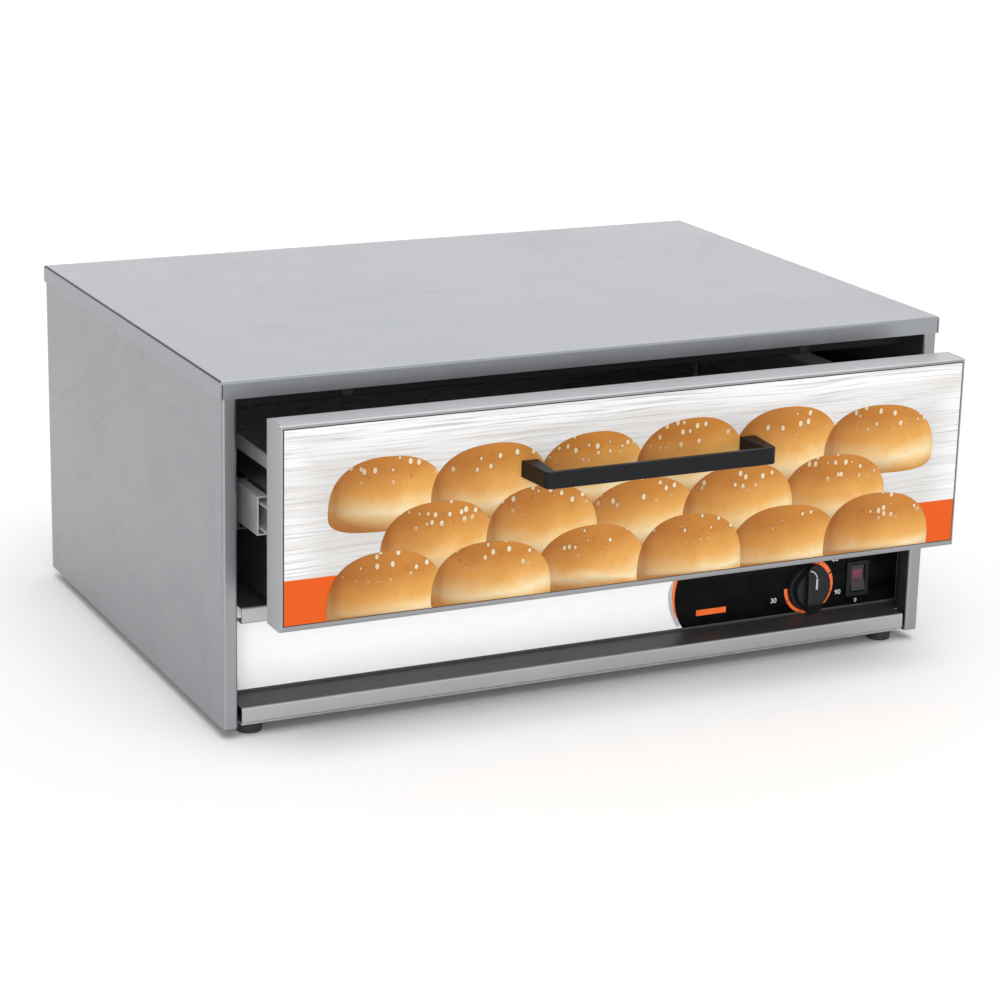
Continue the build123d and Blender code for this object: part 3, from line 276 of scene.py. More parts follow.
def colour_mix(tree, amount, first, second, mode="MIX"):
    """A colour mix, set on the sockets that carry colours."""
    mixed = tree.nodes.new("ShaderNodeMix")
    mixed.data_type = "RGBA"
    mixed.blend_type = mode
    for index, value in ((0, amount), (6, first), (7, second)):
        if isinstance(value, bpy.types.NodeSocket):
            tree.links.new(value, mixed.inputs[index])
        else:
            mixed.inputs[index].default_value = value
    return mixed.outputs[2]


def relief(tree, height, strength, depth, invert=False):
    """Normals of a surface with fine relief."""
    made = node(tree, "Bump", {"Strength": strength, "Distance": depth, "Height": height}, invert=invert)
    return made.outputs[0]


def effect(name, takes, gives):
    """An empty node group: inputs with their first values, and outputs that are numbers."""
    group = bpy.data.node_groups.new(name, "ShaderNodeTree")
    for label, value in takes.items():
        kind = "NodeSocketFloat" if isinstance(value, float) else "NodeSocketVector"
        group.interface.new_socket(label, in_out="INPUT", socket_type=kind).default_value = value
    for label in gives:
        group.interface.new_socket(label, in_out="OUTPUT", socket_type="NodeSocketFloat")
    return group, group.nodes.new("NodeGroupInput").outputs, group.nodes.new("NodeGroupOutput").inputs


def deliver(group, gives, *values):
    """Links values to the outputs of a node group, in their order."""
    for value, socket in zip(values, gives):
        group.links.new(value, socket)
    return group


def rolled_grain_effect():
    """Fine lines of a satin sheet, and the slow cloud of tone across it."""
    group, takes, gives = effect("rolled grain", {"Stretch": (1, 1, 1), "Cloud Size": 6.0},
                                 ["Grain", "Cloud"])
    place = own_place(group)
    drawn = vector_calc(group, "MULTIPLY", place, takes["Stretch"])
    lines = noise(group, drawn, 1.0, 5.0, 0.65)
    return deliver(group, gives, lines, noise(group, place, takes["Cloud Size"], 3.0))


def handling_effect():
    """Wiped smudges and hairline scratches left by hands and cloths."""
    group, takes, gives = effect("handling marks", {"Size": 9.0, "Amount": 0.5}, ["Smudge", "Hairline"])
    place = own_place(group)
    moved = vector_calc(group, "ADD", place, noise_vector(group, place, WIPE_BEND_SIZE, 1.0))
    wiped = vector_calc(group, "MULTIPLY", moved, WIPE_STRETCH)
    smear = ranged(group, noise(group, wiped, takes["Size"], 6.0, 0.6, 0.4), 0.0, 1.0, *SMUDGE_SPAN)
    slant = node(group, "Mapping", {"Vector": place, "Rotation": SCRATCH_TURN, "Scale": SCRATCH_STRETCH})
    hair = ranged(group, noise(group, slant.outputs[0], 1.0, 0.0), 0.0, 1.0, *SCRATCH_SPAN)
    return deliver(group, gives, calc(group, "MULTIPLY", smear, takes["Amount"]),
                   calc(group, "MULTIPLY", hair, takes["Amount"]))


def edge_wear_effect():
    """Bright rubbed metal or plastic along folds and corners."""
    group, takes, gives = effect("edge wear", {"Width": 0.001, "Break Up": 120.0}, ["Worn"])
    rounded = node(group, "Bevel", {"Radius": takes["Width"]}, samples=4).outputs[0]
    flat = node(group, "NewGeometry").outputs["Normal"]
    same = node(group, "VectorMath", {0: rounded, 1: flat}, operation="DOT_PRODUCT").outputs["Value"]
    turned = ranged(group, same, 0.0, 1.0, *BEND_SPAN)
    patchy = ranged(group, noise(group, own_place(group), takes["Break Up"], 2.0), 0.0, 1.0, *WORN_SPAN)
    return deliver(group, gives, calc(group, "MULTIPLY", turned, patchy))


ROLLED_GRAIN = rolled_grain_effect()
HANDLING = handling_effect()
EDGE_WEAR = edge_wear_effect()


def use(tree, group, **inputs):
    """The outputs of a node group. Inputs go by their names, with _ for a blank."""
    named = {label.replace("_", " "): value for label, value in inputs.items()}
    return node(tree, "Group", named, node_tree=group).outputs


def surfaced(material, inputs, gloss=0.5):
    """Gives a material its surface. Gloss is the level of its clear reflection."""
    tree = material.node_tree
    shader = node(tree, "BsdfPrincipled", inputs)
    shader.inputs["Specular IOR Level"].default_value = gloss
    node(tree, "OutputMaterial", {"Surface": shader.outputs[0]})
    return material


def finish(names, material):
    """Gives CAD pieces their finish."""
    for name in names:
        for slot in nodes[name].material_slots:
            slot.material = material


def fold_mask(tree):
    """The rounded outside of a fold between a top face and a side face, darkened there as a painted dark
    reflection.
    """
    parts = facing(tree)
    both = calc(tree, "MULTIPLY", calc(tree, "ABSOLUTE", parts["X"]), parts["Z"])
    return ranged(tree, both, 0.0, 1.0, *FOLD_SPAN)


def shelf_mask(tree):
    """The ledge and the recessed face, which lie behind the front of the rail."""
    return ranged(tree, axes(tree, own_place(tree))["Y"], 0.0, 1.0, *SHELF_SPAN)


def grain_stretch(along):
    """How the grain noise is drawn out: long along one axis and fine across the others."""
    return tuple(GRAIN_LONG if axis == along else GRAIN_FINE for axis in "XYZ")


def satin_steel(name, along, tone, dull, rough=(0.30, 0.42), marks=0.5, stain_and_painted_shade=None, painted_light_or_shade=None,
                painted_light_or_shade_tone=HEM_PAINTED_LIGHT_TONE, painted_light_or_shade_metal=0.25, gloss=0.5):
    """Satin sheet with its grain along one axis. Masks may say where it is darkened with painted shade, and
    where a flat tone of painted light or shade replaces the steel.
    """
    material, tree = blank_material(name)
    grain = use(tree, ROLLED_GRAIN, Stretch=grain_stretch(along))
    hands = use(tree, HANDLING, Amount=marks)
    worn = use(tree, EDGE_WEAR, Width=FOLD_WEAR_WIDTH)["Worn"]
    clouded = colour_mix(tree, ranged(tree, grain["Cloud"], *CLOUD_RANGE), tone, dull)
    lined = colour_mix(tree, ranged(tree, grain["Grain"], *GRAIN_RANGE), clouded, dull)
    shade = colour_mix(tree, ranged(tree, hands["Smudge"], 0.0, SMUDGE_SHADE), lined, dull)
    metal = ranged(tree, grain["Cloud"], METAL_LEAST, 1.0)
    # Painted shade: darkens the steel towards a near black where the mask asks for it.
    if stain_and_painted_shade:
        shade = colour_mix(tree, stain_and_painted_shade(tree), shade, STEEL_PAINTED_SHADE)
    # Painted light or shade: a flat tone in place of the steel where the mask asks for it.
    if painted_light_or_shade:
        mask = painted_light_or_shade(tree)
        shade = colour_mix(tree, mask, shade, painted_light_or_shade_tone)
        metal = ranged(tree, mask, 1.0, painted_light_or_shade_metal)
    rubbed = colour_mix(tree, ranged(tree, worn, 0.0, FOLD_WEAR), shade, STEEL_WORN)
    base_rough = ranged(tree, grain["Grain"], *rough, *GRAIN_SPAN)
    scored = calc(tree, "MULTIPLY_ADD", hands["Hairline"], SCRATCH_ROUGH, base_rough)
    smeared = calc(tree, "MULTIPLY_ADD", hands["Smudge"], SMUDGE_ROUGH, scored)
    return surfaced(material, {"Base Color": rubbed, "Roughness": smeared, "Metallic": metal,
                               "Normal": relief(tree, grain["Grain"], *STEEL_RELIEF)}, gloss)


# Painted dark reflection: the cover's side folds are darkened along their bends.
finish(["top_cover"], satin_steel("cover_steel", "X", COVER_TONE, COVER_DULL, stain_and_painted_shade=fold_mask))
# Painted shade: the sides are a little darker than the cover.
finish(["left_side_panel", "right_side_panel"], satin_steel("side_steel_painted_shade", "Y", SIDE_PAINTED_SHADE_TONE, SIDE_PAINTED_SHADE_DULL))
# Painted light: the back and the mid rail are lighter than the cover and sides.
finish(["back_panel", "mid_rail"], satin_steel("rail_steel_painted_light", "X", RAIL_PAINTED_LIGHT_TONE, RAIL_PAINTED_LIGHT_DULL))
# Painted shade: the ledge and the recessed face behind the films get a near black tone.
finish(["control_panel"], satin_steel("front_steel_painted_light_and_shade", "X", RAIL_PAINTED_LIGHT_TONE, RAIL_PAINTED_LIGHT_DULL, painted_light_or_shade=shelf_mask,
                                      painted_light_or_shade_tone=SHELF_PAINTED_SHADE, painted_light_or_shade_metal=0.0, gloss=0.1))


# Inner sheets: galvanised sheet with its frozen zinc spangle for the floor, the heat shield and the
# element brackets, and a bright aluminium tray that throws the heat up at the drawer.

ZINC_LIGHT = (0.50, 0.52, 0.54, 1)
ZINC_DARK = (0.33, 0.35, 0.37, 1)
SPANGLE_SIZE = 170.0
SPANGLE_BEND_SIZE = 90.0
SPANGLE_BEND = (0.006, 0.006, 0.006)
SEAM_SPAN = (0.06, 0.0)
ZINC_SMUDGE = 0.4
ZINC_ROUGH = (0.36, 0.56)
ZINC_RELIEF = (0.2, 0.03 * MM)
ALUMINIUM = (0.70, 0.71, 0.72, 1)
ALUMINIUM_STAIN = (0.52, 0.48, 0.42, 1)


def galvanised_sheet():
    """Dull zinc with flat crystals of two tones, their seams, and a few handling marks."""
    material, tree = blank_material("galvanised_sheet")
    place = own_place(tree)
    bend = vector_calc(tree, "MULTIPLY", noise_vector(tree, place, SPANGLE_BEND_SIZE, 2.0), SPANGLE_BEND)
    moved = vector_calc(tree, "ADD", place, bend)
    cells = node(tree, "TexVoronoi", {"Vector": moved, "Scale": SPANGLE_SIZE})
    edges = node(tree, "TexVoronoi", {"Vector": moved, "Scale": SPANGLE_SIZE}, feature="DISTANCE_TO_EDGE")
    crystal = node(tree, "SeparateColor", {"Color": cells.outputs["Color"]}).outputs[0]
    seam = ranged(tree, edges.outputs["Distance"], 0.0, 1.0, *SEAM_SPAN)
    hands = use(tree, HANDLING, Size=14.0, Amount=0.8)
    tone = colour_mix(tree, crystal, ZINC_LIGHT, ZINC_DARK)
    stain_and_painted_shade = colour_mix(tree, ranged(tree, hands["Smudge"], 0.0, ZINC_SMUDGE), tone, ZINC_DARK)
    return surfaced(material, {"Base Color": stain_and_painted_shade, "Roughness": ranged(tree, crystal, *ZINC_ROUGH),
                               "Normal": relief(tree, seam, *ZINC_RELIEF), "Metallic": 1.0})


finish(["bottom_pan", "heat_shield", "element_brackets"], galvanised_sheet())
finish(["reflector_tray"],
       satin_steel("bright_aluminium_tray", "X", ALUMINIUM, ALUMINIUM_STAIN, rough=(0.16, 0.26), marks=0.7))


# Slides, ball cages and screws: cold rolled strip and turned screws in bright zinc plate. The outer
# slides are coloured near black as painted shade, and the clips of the bulb are blued spring strip.
# The plate is rubbed at its corners, has a faint blue yellow cast, and keeps a trace of grease between the
# balls.

PLATE_BLUE = (0.46, 0.48, 0.51, 1)
PLATE_YELLOW = (0.50, 0.49, 0.44, 1)
PLATE_WORN = (0.66, 0.66, 0.66, 1)
SLIDE_GREY = (0.56, 0.565, 0.575, 1)
SLIDE_PALE = (0.64, 0.64, 0.63, 1)
GREASE = (0.10, 0.085, 0.06, 1)
SHADE_PLATE_BLACK = (0.045, 0.046, 0.050, 1)
SHADE_PLATE_WORN = (0.075, 0.075, 0.078, 1)
SPRING_BLUE = (0.20, 0.22, 0.26, 1)
SPRING_STRAW = (0.42, 0.36, 0.27, 1)
PLATE_STRETCH = (500, 60, 500)
PLATE_WEAR_WIDTH = 0.35 * MM
CAST_SPAN = (0.38, 0.62)
PLATE_ROUGH = (0.24, 0.42)
PLATE_RELIEF = (0.12, 0.02 * MM)
SIDES = ("left", "right")
SCREWS = ("foot_screws", "cover_screws", "back_screws", "handle_screws", "thermostat_screws")


def plated_steel(name, first, second, worn_tone=PLATE_WORN, grease=0.0, cast_size=30.0, metal=1.0):
    """Plated steel whose cast wanders between two tones and is rubbed bright on its corners."""
    material, tree = blank_material(name)
    grain = use(tree, ROLLED_GRAIN, Stretch=PLATE_STRETCH, Cloud_Size=cast_size)
    hands = use(tree, HANDLING, Size=40.0, Amount=1.0)
    worn = use(tree, EDGE_WEAR, Width=PLATE_WEAR_WIDTH, Break_Up=300.0)["Worn"]
    cast = colour_mix(tree, ranged(tree, grain["Cloud"], 0.0, 1.0, *CAST_SPAN), first, second)
    rubbed = colour_mix(tree, worn, cast, worn_tone)
    greased = colour_mix(tree, ranged(tree, hands["Smudge"], 0.0, grease), rubbed, GREASE)
    rough = ranged(tree, grain["Grain"], *PLATE_ROUGH, *GRAIN_SPAN)
    return surfaced(material, {"Base Color": greased, "Roughness": rough, "Metallic": metal,
                               "Normal": relief(tree, grain["Grain"], *PLATE_RELIEF)})


slide_plate = plated_steel("slide_plate", SLIDE_GREY, SLIDE_PALE, grease=0.3, metal=0.35)
# Painted shade: the outer slides are coloured near black.
painted_shade_plate = plated_steel("painted_shade_slide_plate", SHADE_PLATE_BLACK, SHADE_PLATE_WORN, PLATE_BLUE, grease=0.3)
for layer in ("slide_middle", "slide_inner", "cage_outer", "cage_inner"):
    finish([f"{layer}_{side}" for side in SIDES], slide_plate)
finish([f"slide_outer_{side}" for side in SIDES], painted_shade_plate)
finish(SCREWS, plated_steel("screw_plate", PLATE_BLUE, PLATE_YELLOW, cast_size=200.0))
finish(["bulb_clips"], plated_steel("blued_spring_strip", SPRING_BLUE, SPRING_STRAW, cast_size=120.0))


# Black fittings: moulded rubber feet, drawer bumpers and grommet, and the ribbed nylon gland and
# nut that hold a supply lead at the back. The header rail and the slide supports are folded steel,
# coloured near black with a pebbled skin as painted shade inside the casing.

RUBBER_DARK = (0.016, 0.016, 0.017, 1)
RUBBER_DUSTY = (0.075, 0.073, 0.070, 1)
NYLON_DARK = (0.022, 0.022, 0.023, 1)
NYLON_SCUFF = (0.10, 0.10, 0.10, 1)
SHADE_BLACK = (0.010, 0.010, 0.011, 1)
SHADE_BLACK_RUBBED = (0.05, 0.05, 0.05, 1)
DUST_SIZE = 420.0
FACING_SPAN = (0.2, 1.0)
DUST_SPAN = (0.42, 0.7)
SKIN_WEAR_WIDTH = 0.5 * MM
SKIN_WEAR = 0.3
SHEEN_SIZE = 26.0
SHEEN_SPAN = (0.3, 0.7)
SKIN_RELIEF = (0.5, 0.03 * MM)
FEET = ("foot_front_left", "foot_front_right", "foot_rear_left", "foot_rear_right")


def moulded_skin_effect():
    """The fine pebbled skin of a moulded part, and dust that settles on its upper faces."""
    group, takes, gives = effect("moulded skin", {"Pebble Size": 2200.0, "Dust Amount": 0.3},
                                 ["Pebble", "Dust", "Sheen Patch"])
    place = own_place(group)
    pebble = node(group, "TexVoronoi", {"Vector": place, "Scale": takes["Pebble Size"]}, feature="SMOOTH_F1")
    up = ranged(group, facing(group)["Z"], 0.0, 1.0, *FACING_SPAN)
    fallen = ranged(group, noise(group, place, DUST_SIZE, 5.0), 0.0, 1.0, *DUST_SPAN)
    settled = calc(group, "MULTIPLY", calc(group, "MULTIPLY", up, fallen), takes["Dust Amount"])
    return deliver(group, gives, pebble.outputs["Distance"], settled, noise(group, place, SHEEN_SIZE, 4.0))


MOULDED_SKIN = moulded_skin_effect()


def moulded(name, dark, scuffed, rough=(0.4, 0.6), pebble=2200.0, dust=0.3, gloss=0.5):
    """A moulded plastic or rubber with a pebbled skin, settled dust and rubbed corners."""
    material, tree = blank_material(name)
    skin = use(tree, MOULDED_SKIN, Pebble_Size=pebble, Dust_Amount=dust)
    worn = use(tree, EDGE_WEAR, Width=SKIN_WEAR_WIDTH, Break_Up=260.0)["Worn"]
    dusty = colour_mix(tree, skin["Dust"], dark, scuffed)
    rubbed = colour_mix(tree, ranged(tree, worn, 0.0, SKIN_WEAR), dusty, scuffed)
    sheen = ranged(tree, skin["Sheen Patch"], *rough, *SHEEN_SPAN)
    return surfaced(material, {"Base Color": rubbed, "Roughness": sheen,
                               "Normal": relief(tree, skin["Pebble"], *SKIN_RELIEF)}, gloss)


# Painted shade: the header rail and slide supports are coloured near black.
finish(["header_rail", "slide_support_left", "slide_support_right"],
       moulded("painted_shade_black", SHADE_BLACK, SHADE_BLACK_RUBBED, rough=(0.5, 0.65), pebble=900.0, dust=0.1,
               gloss=0.2))
finish([*FEET, "drawer_bumpers", "wire_grommet"],
       moulded("moulded_rubber", RUBBER_DARK, RUBBER_DUSTY, rough=(0.6, 0.8), pebble=1500.0))
finish(["cord_gland", "gland_locknut"], moulded("gland_nylon", NYLON_DARK, NYLON_SCUFF))


# Drawer box, front, liner and pan: satin stainless again. A box with a doubled hem runs on the
# slides, and the top of the box, where the hem lies, has a pale matt tone as painted light. A folded
# front is closed by an inner liner, both a little darker on faces that look to the front as painted
# shade, and a lift-out pan has rows of slots in its floor so that warm moist air reaches the rolls.

DRAWER_TONE = (0.44, 0.447, 0.46, 1)
DRAWER_DULL = (0.36, 0.366, 0.378, 1)
PAN_TONE = (0.34, 0.345, 0.355, 1)
PAN_DULL = (0.28, 0.284, 0.292, 1)
DRAWER_ROUGH = (0.28, 0.40)
PAN_ROUGH = (0.22, 0.34)
LIP_RANGE = (0.0, 0.22, -0.6, -0.9)
HEM_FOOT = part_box("drawer_box")[1].z - 10.0 * MM
HEM_SPAN = (HEM_FOOT - 0.3 * MM, HEM_FOOT + 0.3 * MM)


def lip_mask(tree):
    """Faces that look straight to the front, in part, which are darkened there as painted shade."""
    return ranged(tree, facing(tree)["Y"], *LIP_RANGE)


def hem_mask(tree):
    """The doubled hem round the top of the drawer box."""
    return ranged(tree, axes(tree, own_place(tree))["Z"], 0.0, 1.0, *HEM_SPAN)


# Painted shade: the drawer front and its liner are a little darker where they face the front.
finish(["drawer_front", "front_liner"],
       satin_steel("drawer_steel_across", "X", DRAWER_TONE, DRAWER_DULL, DRAWER_ROUGH, marks=0.4,
                   stain_and_painted_shade=lip_mask))
# Painted light: the top of the box, along its hem, has a pale matt tone.
finish(["drawer_box"],
       satin_steel("drawer_steel_deep", "Y", DRAWER_TONE, DRAWER_DULL, DRAWER_ROUGH, marks=0.7,
                   painted_light_or_shade=hem_mask))
finish(["bun_pan"], satin_steel("pan_steel", "X", PAN_TONE, PAN_DULL, PAN_ROUGH, marks=0.9))


# Printed film on the drawer front: thin polyester with a clear coat, glued into the folded frame.
# It is printed with whitewashed boards and an orange foot band, and over them lies the ink of a
# wall of round seeded rolls.

PRINT_LOW, PRINT_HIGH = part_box("front_print")
PRINT_EDGE = 0.7 * MM
PRINT_GLOSS = 0.2
PRINT_ROUGH = (0.34, 0.44)
PEEL_SIZE = 260.0
PEEL_RELIEF = (0.06, 0.05 * MM)
BOARD_H = 29.5 * MM
BOARD_SLIP = 0.37
SWAY_SIZE = 7.0
BOARD_SWAY = (0, 0, 0.009)
JOINT_RANGE = (0.0, 0.6, 0.02, 0.0)
BOARD_WHITE = (0.775, 0.772, 0.770, 1)
BOARD_GREY = (0.40, 0.383, 0.37, 1)
BOARD_WARM = (0.58, 0.55, 0.525, 1)
STREAK_STRETCH = (12, 12, 620)
STREAK_RANGE = (0.0, 0.80, 0.48, 0.68)
CLOUD_STRETCH = (5, 5, 95)
WARM_RANGE = (0.0, 0.8, 0.48, 0.75)
BAND_TOP = 145.0 * MM
ORANGE_INK = (0.66, 0.090, 0.005, 1)
PRINT_EDGE_SHADOW = (0.030, 0.022, 0.018, 1)
HEAP_MIDDLE = 3.0 * MM
HEAP_HALF = 256.0 * MM
HEAP_TOP = 222.0 * MM
HEAP_SHADE_W = 26.0 * MM
HEAP_SHADE = 0.45
SHADE_GREY = (0.42, 0.40, 0.38, 1)


def rim_effect():
    """A rim along the four edges of a front face."""
    group, takes, gives = effect("rim", {"Middle": (0, 0, 0), "Half Width": 0.1, "Half Height": 0.1}, ["Rim"])
    parts = axes(group, vector_calc(group, "SUBTRACT", own_place(group), takes["Middle"]))
    at_side = calc(group, "GREATER_THAN", calc(group, "ABSOLUTE", parts["X"]), takes["Half Width"])
    at_end = calc(group, "GREATER_THAN", calc(group, "ABSOLUTE", parts["Z"]), takes["Half Height"])
    return deliver(group, gives, calc(group, "MAXIMUM", at_side, at_end))


RIM = rim_effect()


def rim_mask(tree, low, high, side, end):
    """The rim of a box's front face: so much at its sides, and so much at its top and foot."""
    half = (high - low) / 2
    return use(tree, RIM, Middle=(low + high) / 2, Half_Width=half.x - side, Half_Height=half.z - end)["Rim"]


def heap_shade(tree, place):
    """Soft shade that the heap of rolls throws on the boards round its ends and top."""
    parts = axes(tree, place)
    aside = calc(tree, "ABSOLUTE", calc(tree, "SUBTRACT", parts["X"], HEAP_MIDDLE))
    past_end = calc(tree, "SUBTRACT", aside, HEAP_HALF)
    past_top = calc(tree, "SUBTRACT", parts["Z"], HEAP_TOP)
    return ranged(tree, calc(tree, "MAXIMUM", past_end, past_top), HEAP_SHADE, 0.0, 0.0, HEAP_SHADE_W)


def washed_boards():
    """Whitewashed boards with streaked grain, dark joints and an orange band along the foot, and a thin
    painted shadow round the film's edge.
    """
    material, tree = blank_material("printed_boards")
    place = own_place(tree)
    height = axes(tree, place)["Z"]
    board = calc(tree, "DIVIDE", height, BOARD_H)
    slip = node(tree, "CombineXYZ", {"X": calc(tree, "MULTIPLY", calc(tree, "FLOOR", board), BOARD_SLIP)})
    shifted = vector_calc(tree, "ADD", place, slip.outputs[0])
    sway = vector_calc(tree, "MULTIPLY", noise_vector(tree, shifted, SWAY_SIZE, 1.0), BOARD_SWAY)
    swayed = vector_calc(tree, "ADD", shifted, sway)
    streak = noise(tree, vector_calc(tree, "MULTIPLY", swayed, STREAK_STRETCH), 1.0, 6.0, 0.62)
    cloud = noise(tree, vector_calc(tree, "MULTIPLY", swayed, CLOUD_STRETCH), 1.0, 3.0)
    lined = colour_mix(tree, ranged(tree, streak, *STREAK_RANGE), BOARD_WHITE, BOARD_GREY)
    warm = colour_mix(tree, ranged(tree, cloud, *WARM_RANGE), lined, BOARD_WARM)
    joint = ranged(tree, calc(tree, "FRACT", board), *JOINT_RANGE)
    cast = colour_mix(tree, heap_shade(tree, place), colour_mix(tree, joint, warm, BOARD_GREY), SHADE_GREY)
    banded = colour_mix(tree, calc(tree, "LESS_THAN", height, BAND_TOP), cast, ORANGE_INK)
    # Painted shadow: a thin dark line round the film, where it meets the frame.
    edge = rim_mask(tree, PRINT_LOW, PRINT_HIGH, PRINT_EDGE, PRINT_EDGE)
    orange_peel = relief(tree, noise(tree, place, PEEL_SIZE, 2.0), *PEEL_RELIEF)
    edge_shadowed = colour_mix(tree, edge, banded, PRINT_EDGE_SHADOW)
    return surfaced(material, {"Base Color": edge_shadowed, "Roughness": ranged(tree, cloud, *PRINT_ROUGH),
                               "Normal": orange_peel}, PRINT_GLOSS)


finish(["front_print"], washed_boards())


INK_STEP = 0.05 * MM
INK_DEPTH = 0.03 * MM
ROLL_W = 97.0 * MM
ROLL_H = 59.0 * MM
ROLL_WAIST = 0.30
ROLL_POINTS = 64
CROWN_BULGE = 0.84
HEEL_BULGE = 0.62
ROLL_SEED = 7
ROLL_WIDTHS = (0.94, 1.05)
ROLL_HEIGHTS = (0.94, 1.06)
ROLL_LEANS = (-4, 4)
ROLL_ROWS = (
    # height of the foot line, first middle, last middle, how many
    (174.0 * MM, -208.0 * MM, 213.0 * MM, 6),
    (136.0 * MM, -167.0 * MM, 173.0 * MM, 5),
    (99.0 * MM, -209.0 * MM, 215.0 * MM, 6),
)
CRUST_DARK = (0.48, 0.19, 0.032, 1)
CRUST_GOLD = (0.66, 0.335, 0.082, 1)
CRUST_PALE = (0.75, 0.52, 0.24, 1)
CRUMB_CREAM = (0.75, 0.62, 0.39, 1)
CRUST_STOPS = (
    (0.13, CRUST_GOLD), (0.28, CRUST_PALE), (0.38, CRUMB_CREAM),
    (0.48, CRUST_PALE), (0.66, CRUST_GOLD), (0.98, CRUST_DARK),
)
SEED_CREAM = (0.70, 0.60, 0.40, 1)
SEED_SHADE = (0.30, 0.12, 0.024, 1)
SEED_STRETCH = (150, 150, 105)
SEED_SCATTER = 0.75
SEED_RING_RANGE = (0.0, 0.55, 0.36, 0.28)
SEED_BODY_RANGE = (0.0, 1.0, 0.27, 0.22)
PORE_RANGE = (0.0, 0.5, 0.62, 0.72)
CROWN_SPAN = (0.60, 0.70)
MOTTLE_SIZE = 55.0
PORE_SIZE = 900.0
TOAST_BOW = -0.16
TOAST_MOTTLE = 0.30
TOAST_CHANCE = 0.14
LIGHT_SLOPE = 0.34
LIGHT_MIDDLE = 0.62
LIGHT_EDGE = -0.40
LIGHT_EDGE_POWER = 3.0
FOOT_LIGHT_RANGE = (-0.42, 0.0, 0.0, 0.26)
LIGHT_SPAN = (0.15, 0.72)
ROLL_SHADE = (0.46, 0.31, 0.20, 1)
PATTERN_STEP = 5.0


def toned(tree, value, stops):
    """A ramp of tones along a value."""
    made = node(tree, "ValToRGB", {"Fac": value})
    ramp = made.color_ramp
    while len(ramp.elements) > 1:
        ramp.elements.remove(ramp.elements[-1])
    ramp.elements[0].position, ramp.elements[0].color = stops[0]
    for position, colour in stops[1:]:
        ramp.elements.new(position).color = colour
    return made.outputs["Color"]


def baked_crust():
    """Printed crust: toasted crown with seeds, pale waist, and shade that rounds each roll."""
    material, tree = blank_material("printed_rolls")
    parts = axes(tree, node(tree, "Attribute", attribute_name="roll").outputs["Vector"])
    across, rise, chance = parts["X"], parts["Y"], parts["Z"]
    slide = node(tree, "CombineXYZ", {"Y": calc(tree, "MULTIPLY", chance, PATTERN_STEP)}).outputs[0]
    own = vector_calc(tree, "ADD", own_place(tree), slide)
    mottle = noise(tree, own, MOTTLE_SIZE, 6.0, 0.6)
    pores = noise(tree, own, PORE_SIZE, 3.0)
    square = calc(tree, "MULTIPLY", across, across)
    toast = calc(tree, "MULTIPLY_ADD", square, TOAST_BOW, rise)
    mottled = calc(tree, "MULTIPLY_ADD", mottle, TOAST_MOTTLE, toast)
    tone = toned(tree, calc(tree, "MULTIPLY_ADD", chance, TOAST_CHANCE, mottled), CRUST_STOPS)
    specked = colour_mix(tree, ranged(tree, pores, *PORE_RANGE), tone, CRUST_DARK)
    spaced = vector_calc(tree, "MULTIPLY", own, SEED_STRETCH)
    cells = node(tree, "TexVoronoi", {"Vector": spaced, "Scale": 1.0, "Randomness": SEED_SCATTER})
    seeds = cells.outputs["Distance"]
    crown = ranged(tree, toast, 0.0, 1.0, *CROWN_SPAN)
    ring = calc(tree, "MULTIPLY", ranged(tree, seeds, *SEED_RING_RANGE), crown)
    body = calc(tree, "MULTIPLY", ranged(tree, seeds, *SEED_BODY_RANGE), crown)
    seeded = colour_mix(tree, body, colour_mix(tree, ring, specked, SEED_SHADE), SEED_CREAM)
    lit = calc(tree, "MULTIPLY_ADD", across, LIGHT_SLOPE, LIGHT_MIDDLE)
    rim = calc(tree, "MULTIPLY_ADD", calc(tree, "POWER", square, LIGHT_EDGE_POWER), LIGHT_EDGE, lit)
    light = calc(tree, "ADD", rim, ranged(tree, rise, *FOOT_LIGHT_RANGE))
    dark = colour_mix(tree, 1.0, seeded, ROLL_SHADE, "MULTIPLY")
    modelled = colour_mix(tree, ranged(tree, light, 0.0, 1.0, *LIGHT_SPAN), dark, seeded)
    return surfaced(material, {"Base Color": modelled, "Roughness": ranged(tree, mottle, *PRINT_ROUGH)},
                    PRINT_GLOSS)


def ink_patch(bm, outline, front):
    """A closed patch of ink: an outline in the front plane, given a depth. Returns its points."""
    near = [bm.verts.new((x, front, z)) for x, z in outline]
    far = [bm.verts.new((x, front + INK_DEPTH, z)) for x, z in outline]
    bm.faces.new(near)
    bm.faces.new(far[::-1])
    for index in range(len(outline)):
        after = (index + 1) % len(outline)
        bm.faces.new((near[index], far[index], far[after], near[after]))
    return near + far


def ink_piece(name, bm, material, body):
    """One printed piece, laid on a body."""
    bmesh.ops.recalc_face_normals(bm, faces=bm.faces)
    mesh = bpy.data.meshes.new(name)
    bm.to_mesh(mesh)
    bm.free()
    mesh.materials.append(material)
    piece = bpy.data.objects.new(name, mesh)
    bpy.context.scene.collection.objects.link(piece)
    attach(piece, body)


def roll_outline():
    """Outline of a round roll from the side: a domed crown over a flatter heel, one unit wide and high."""
    points = []
    for index in range(ROLL_POINTS):
        turn = 2 * math.pi * index / ROLL_POINTS
        bulge = CROWN_BULGE if math.sin(turn) > 0 else HEEL_BULGE
        across = math.copysign(abs(math.cos(turn)) ** bulge, math.cos(turn))
        rise = math.copysign(abs(math.sin(turn)) ** bulge, math.sin(turn))
        reach = 1 - ROLL_WAIST if rise > 0 else ROLL_WAIST
        points.append((across, ROLL_WAIST + reach * rise))
    return points


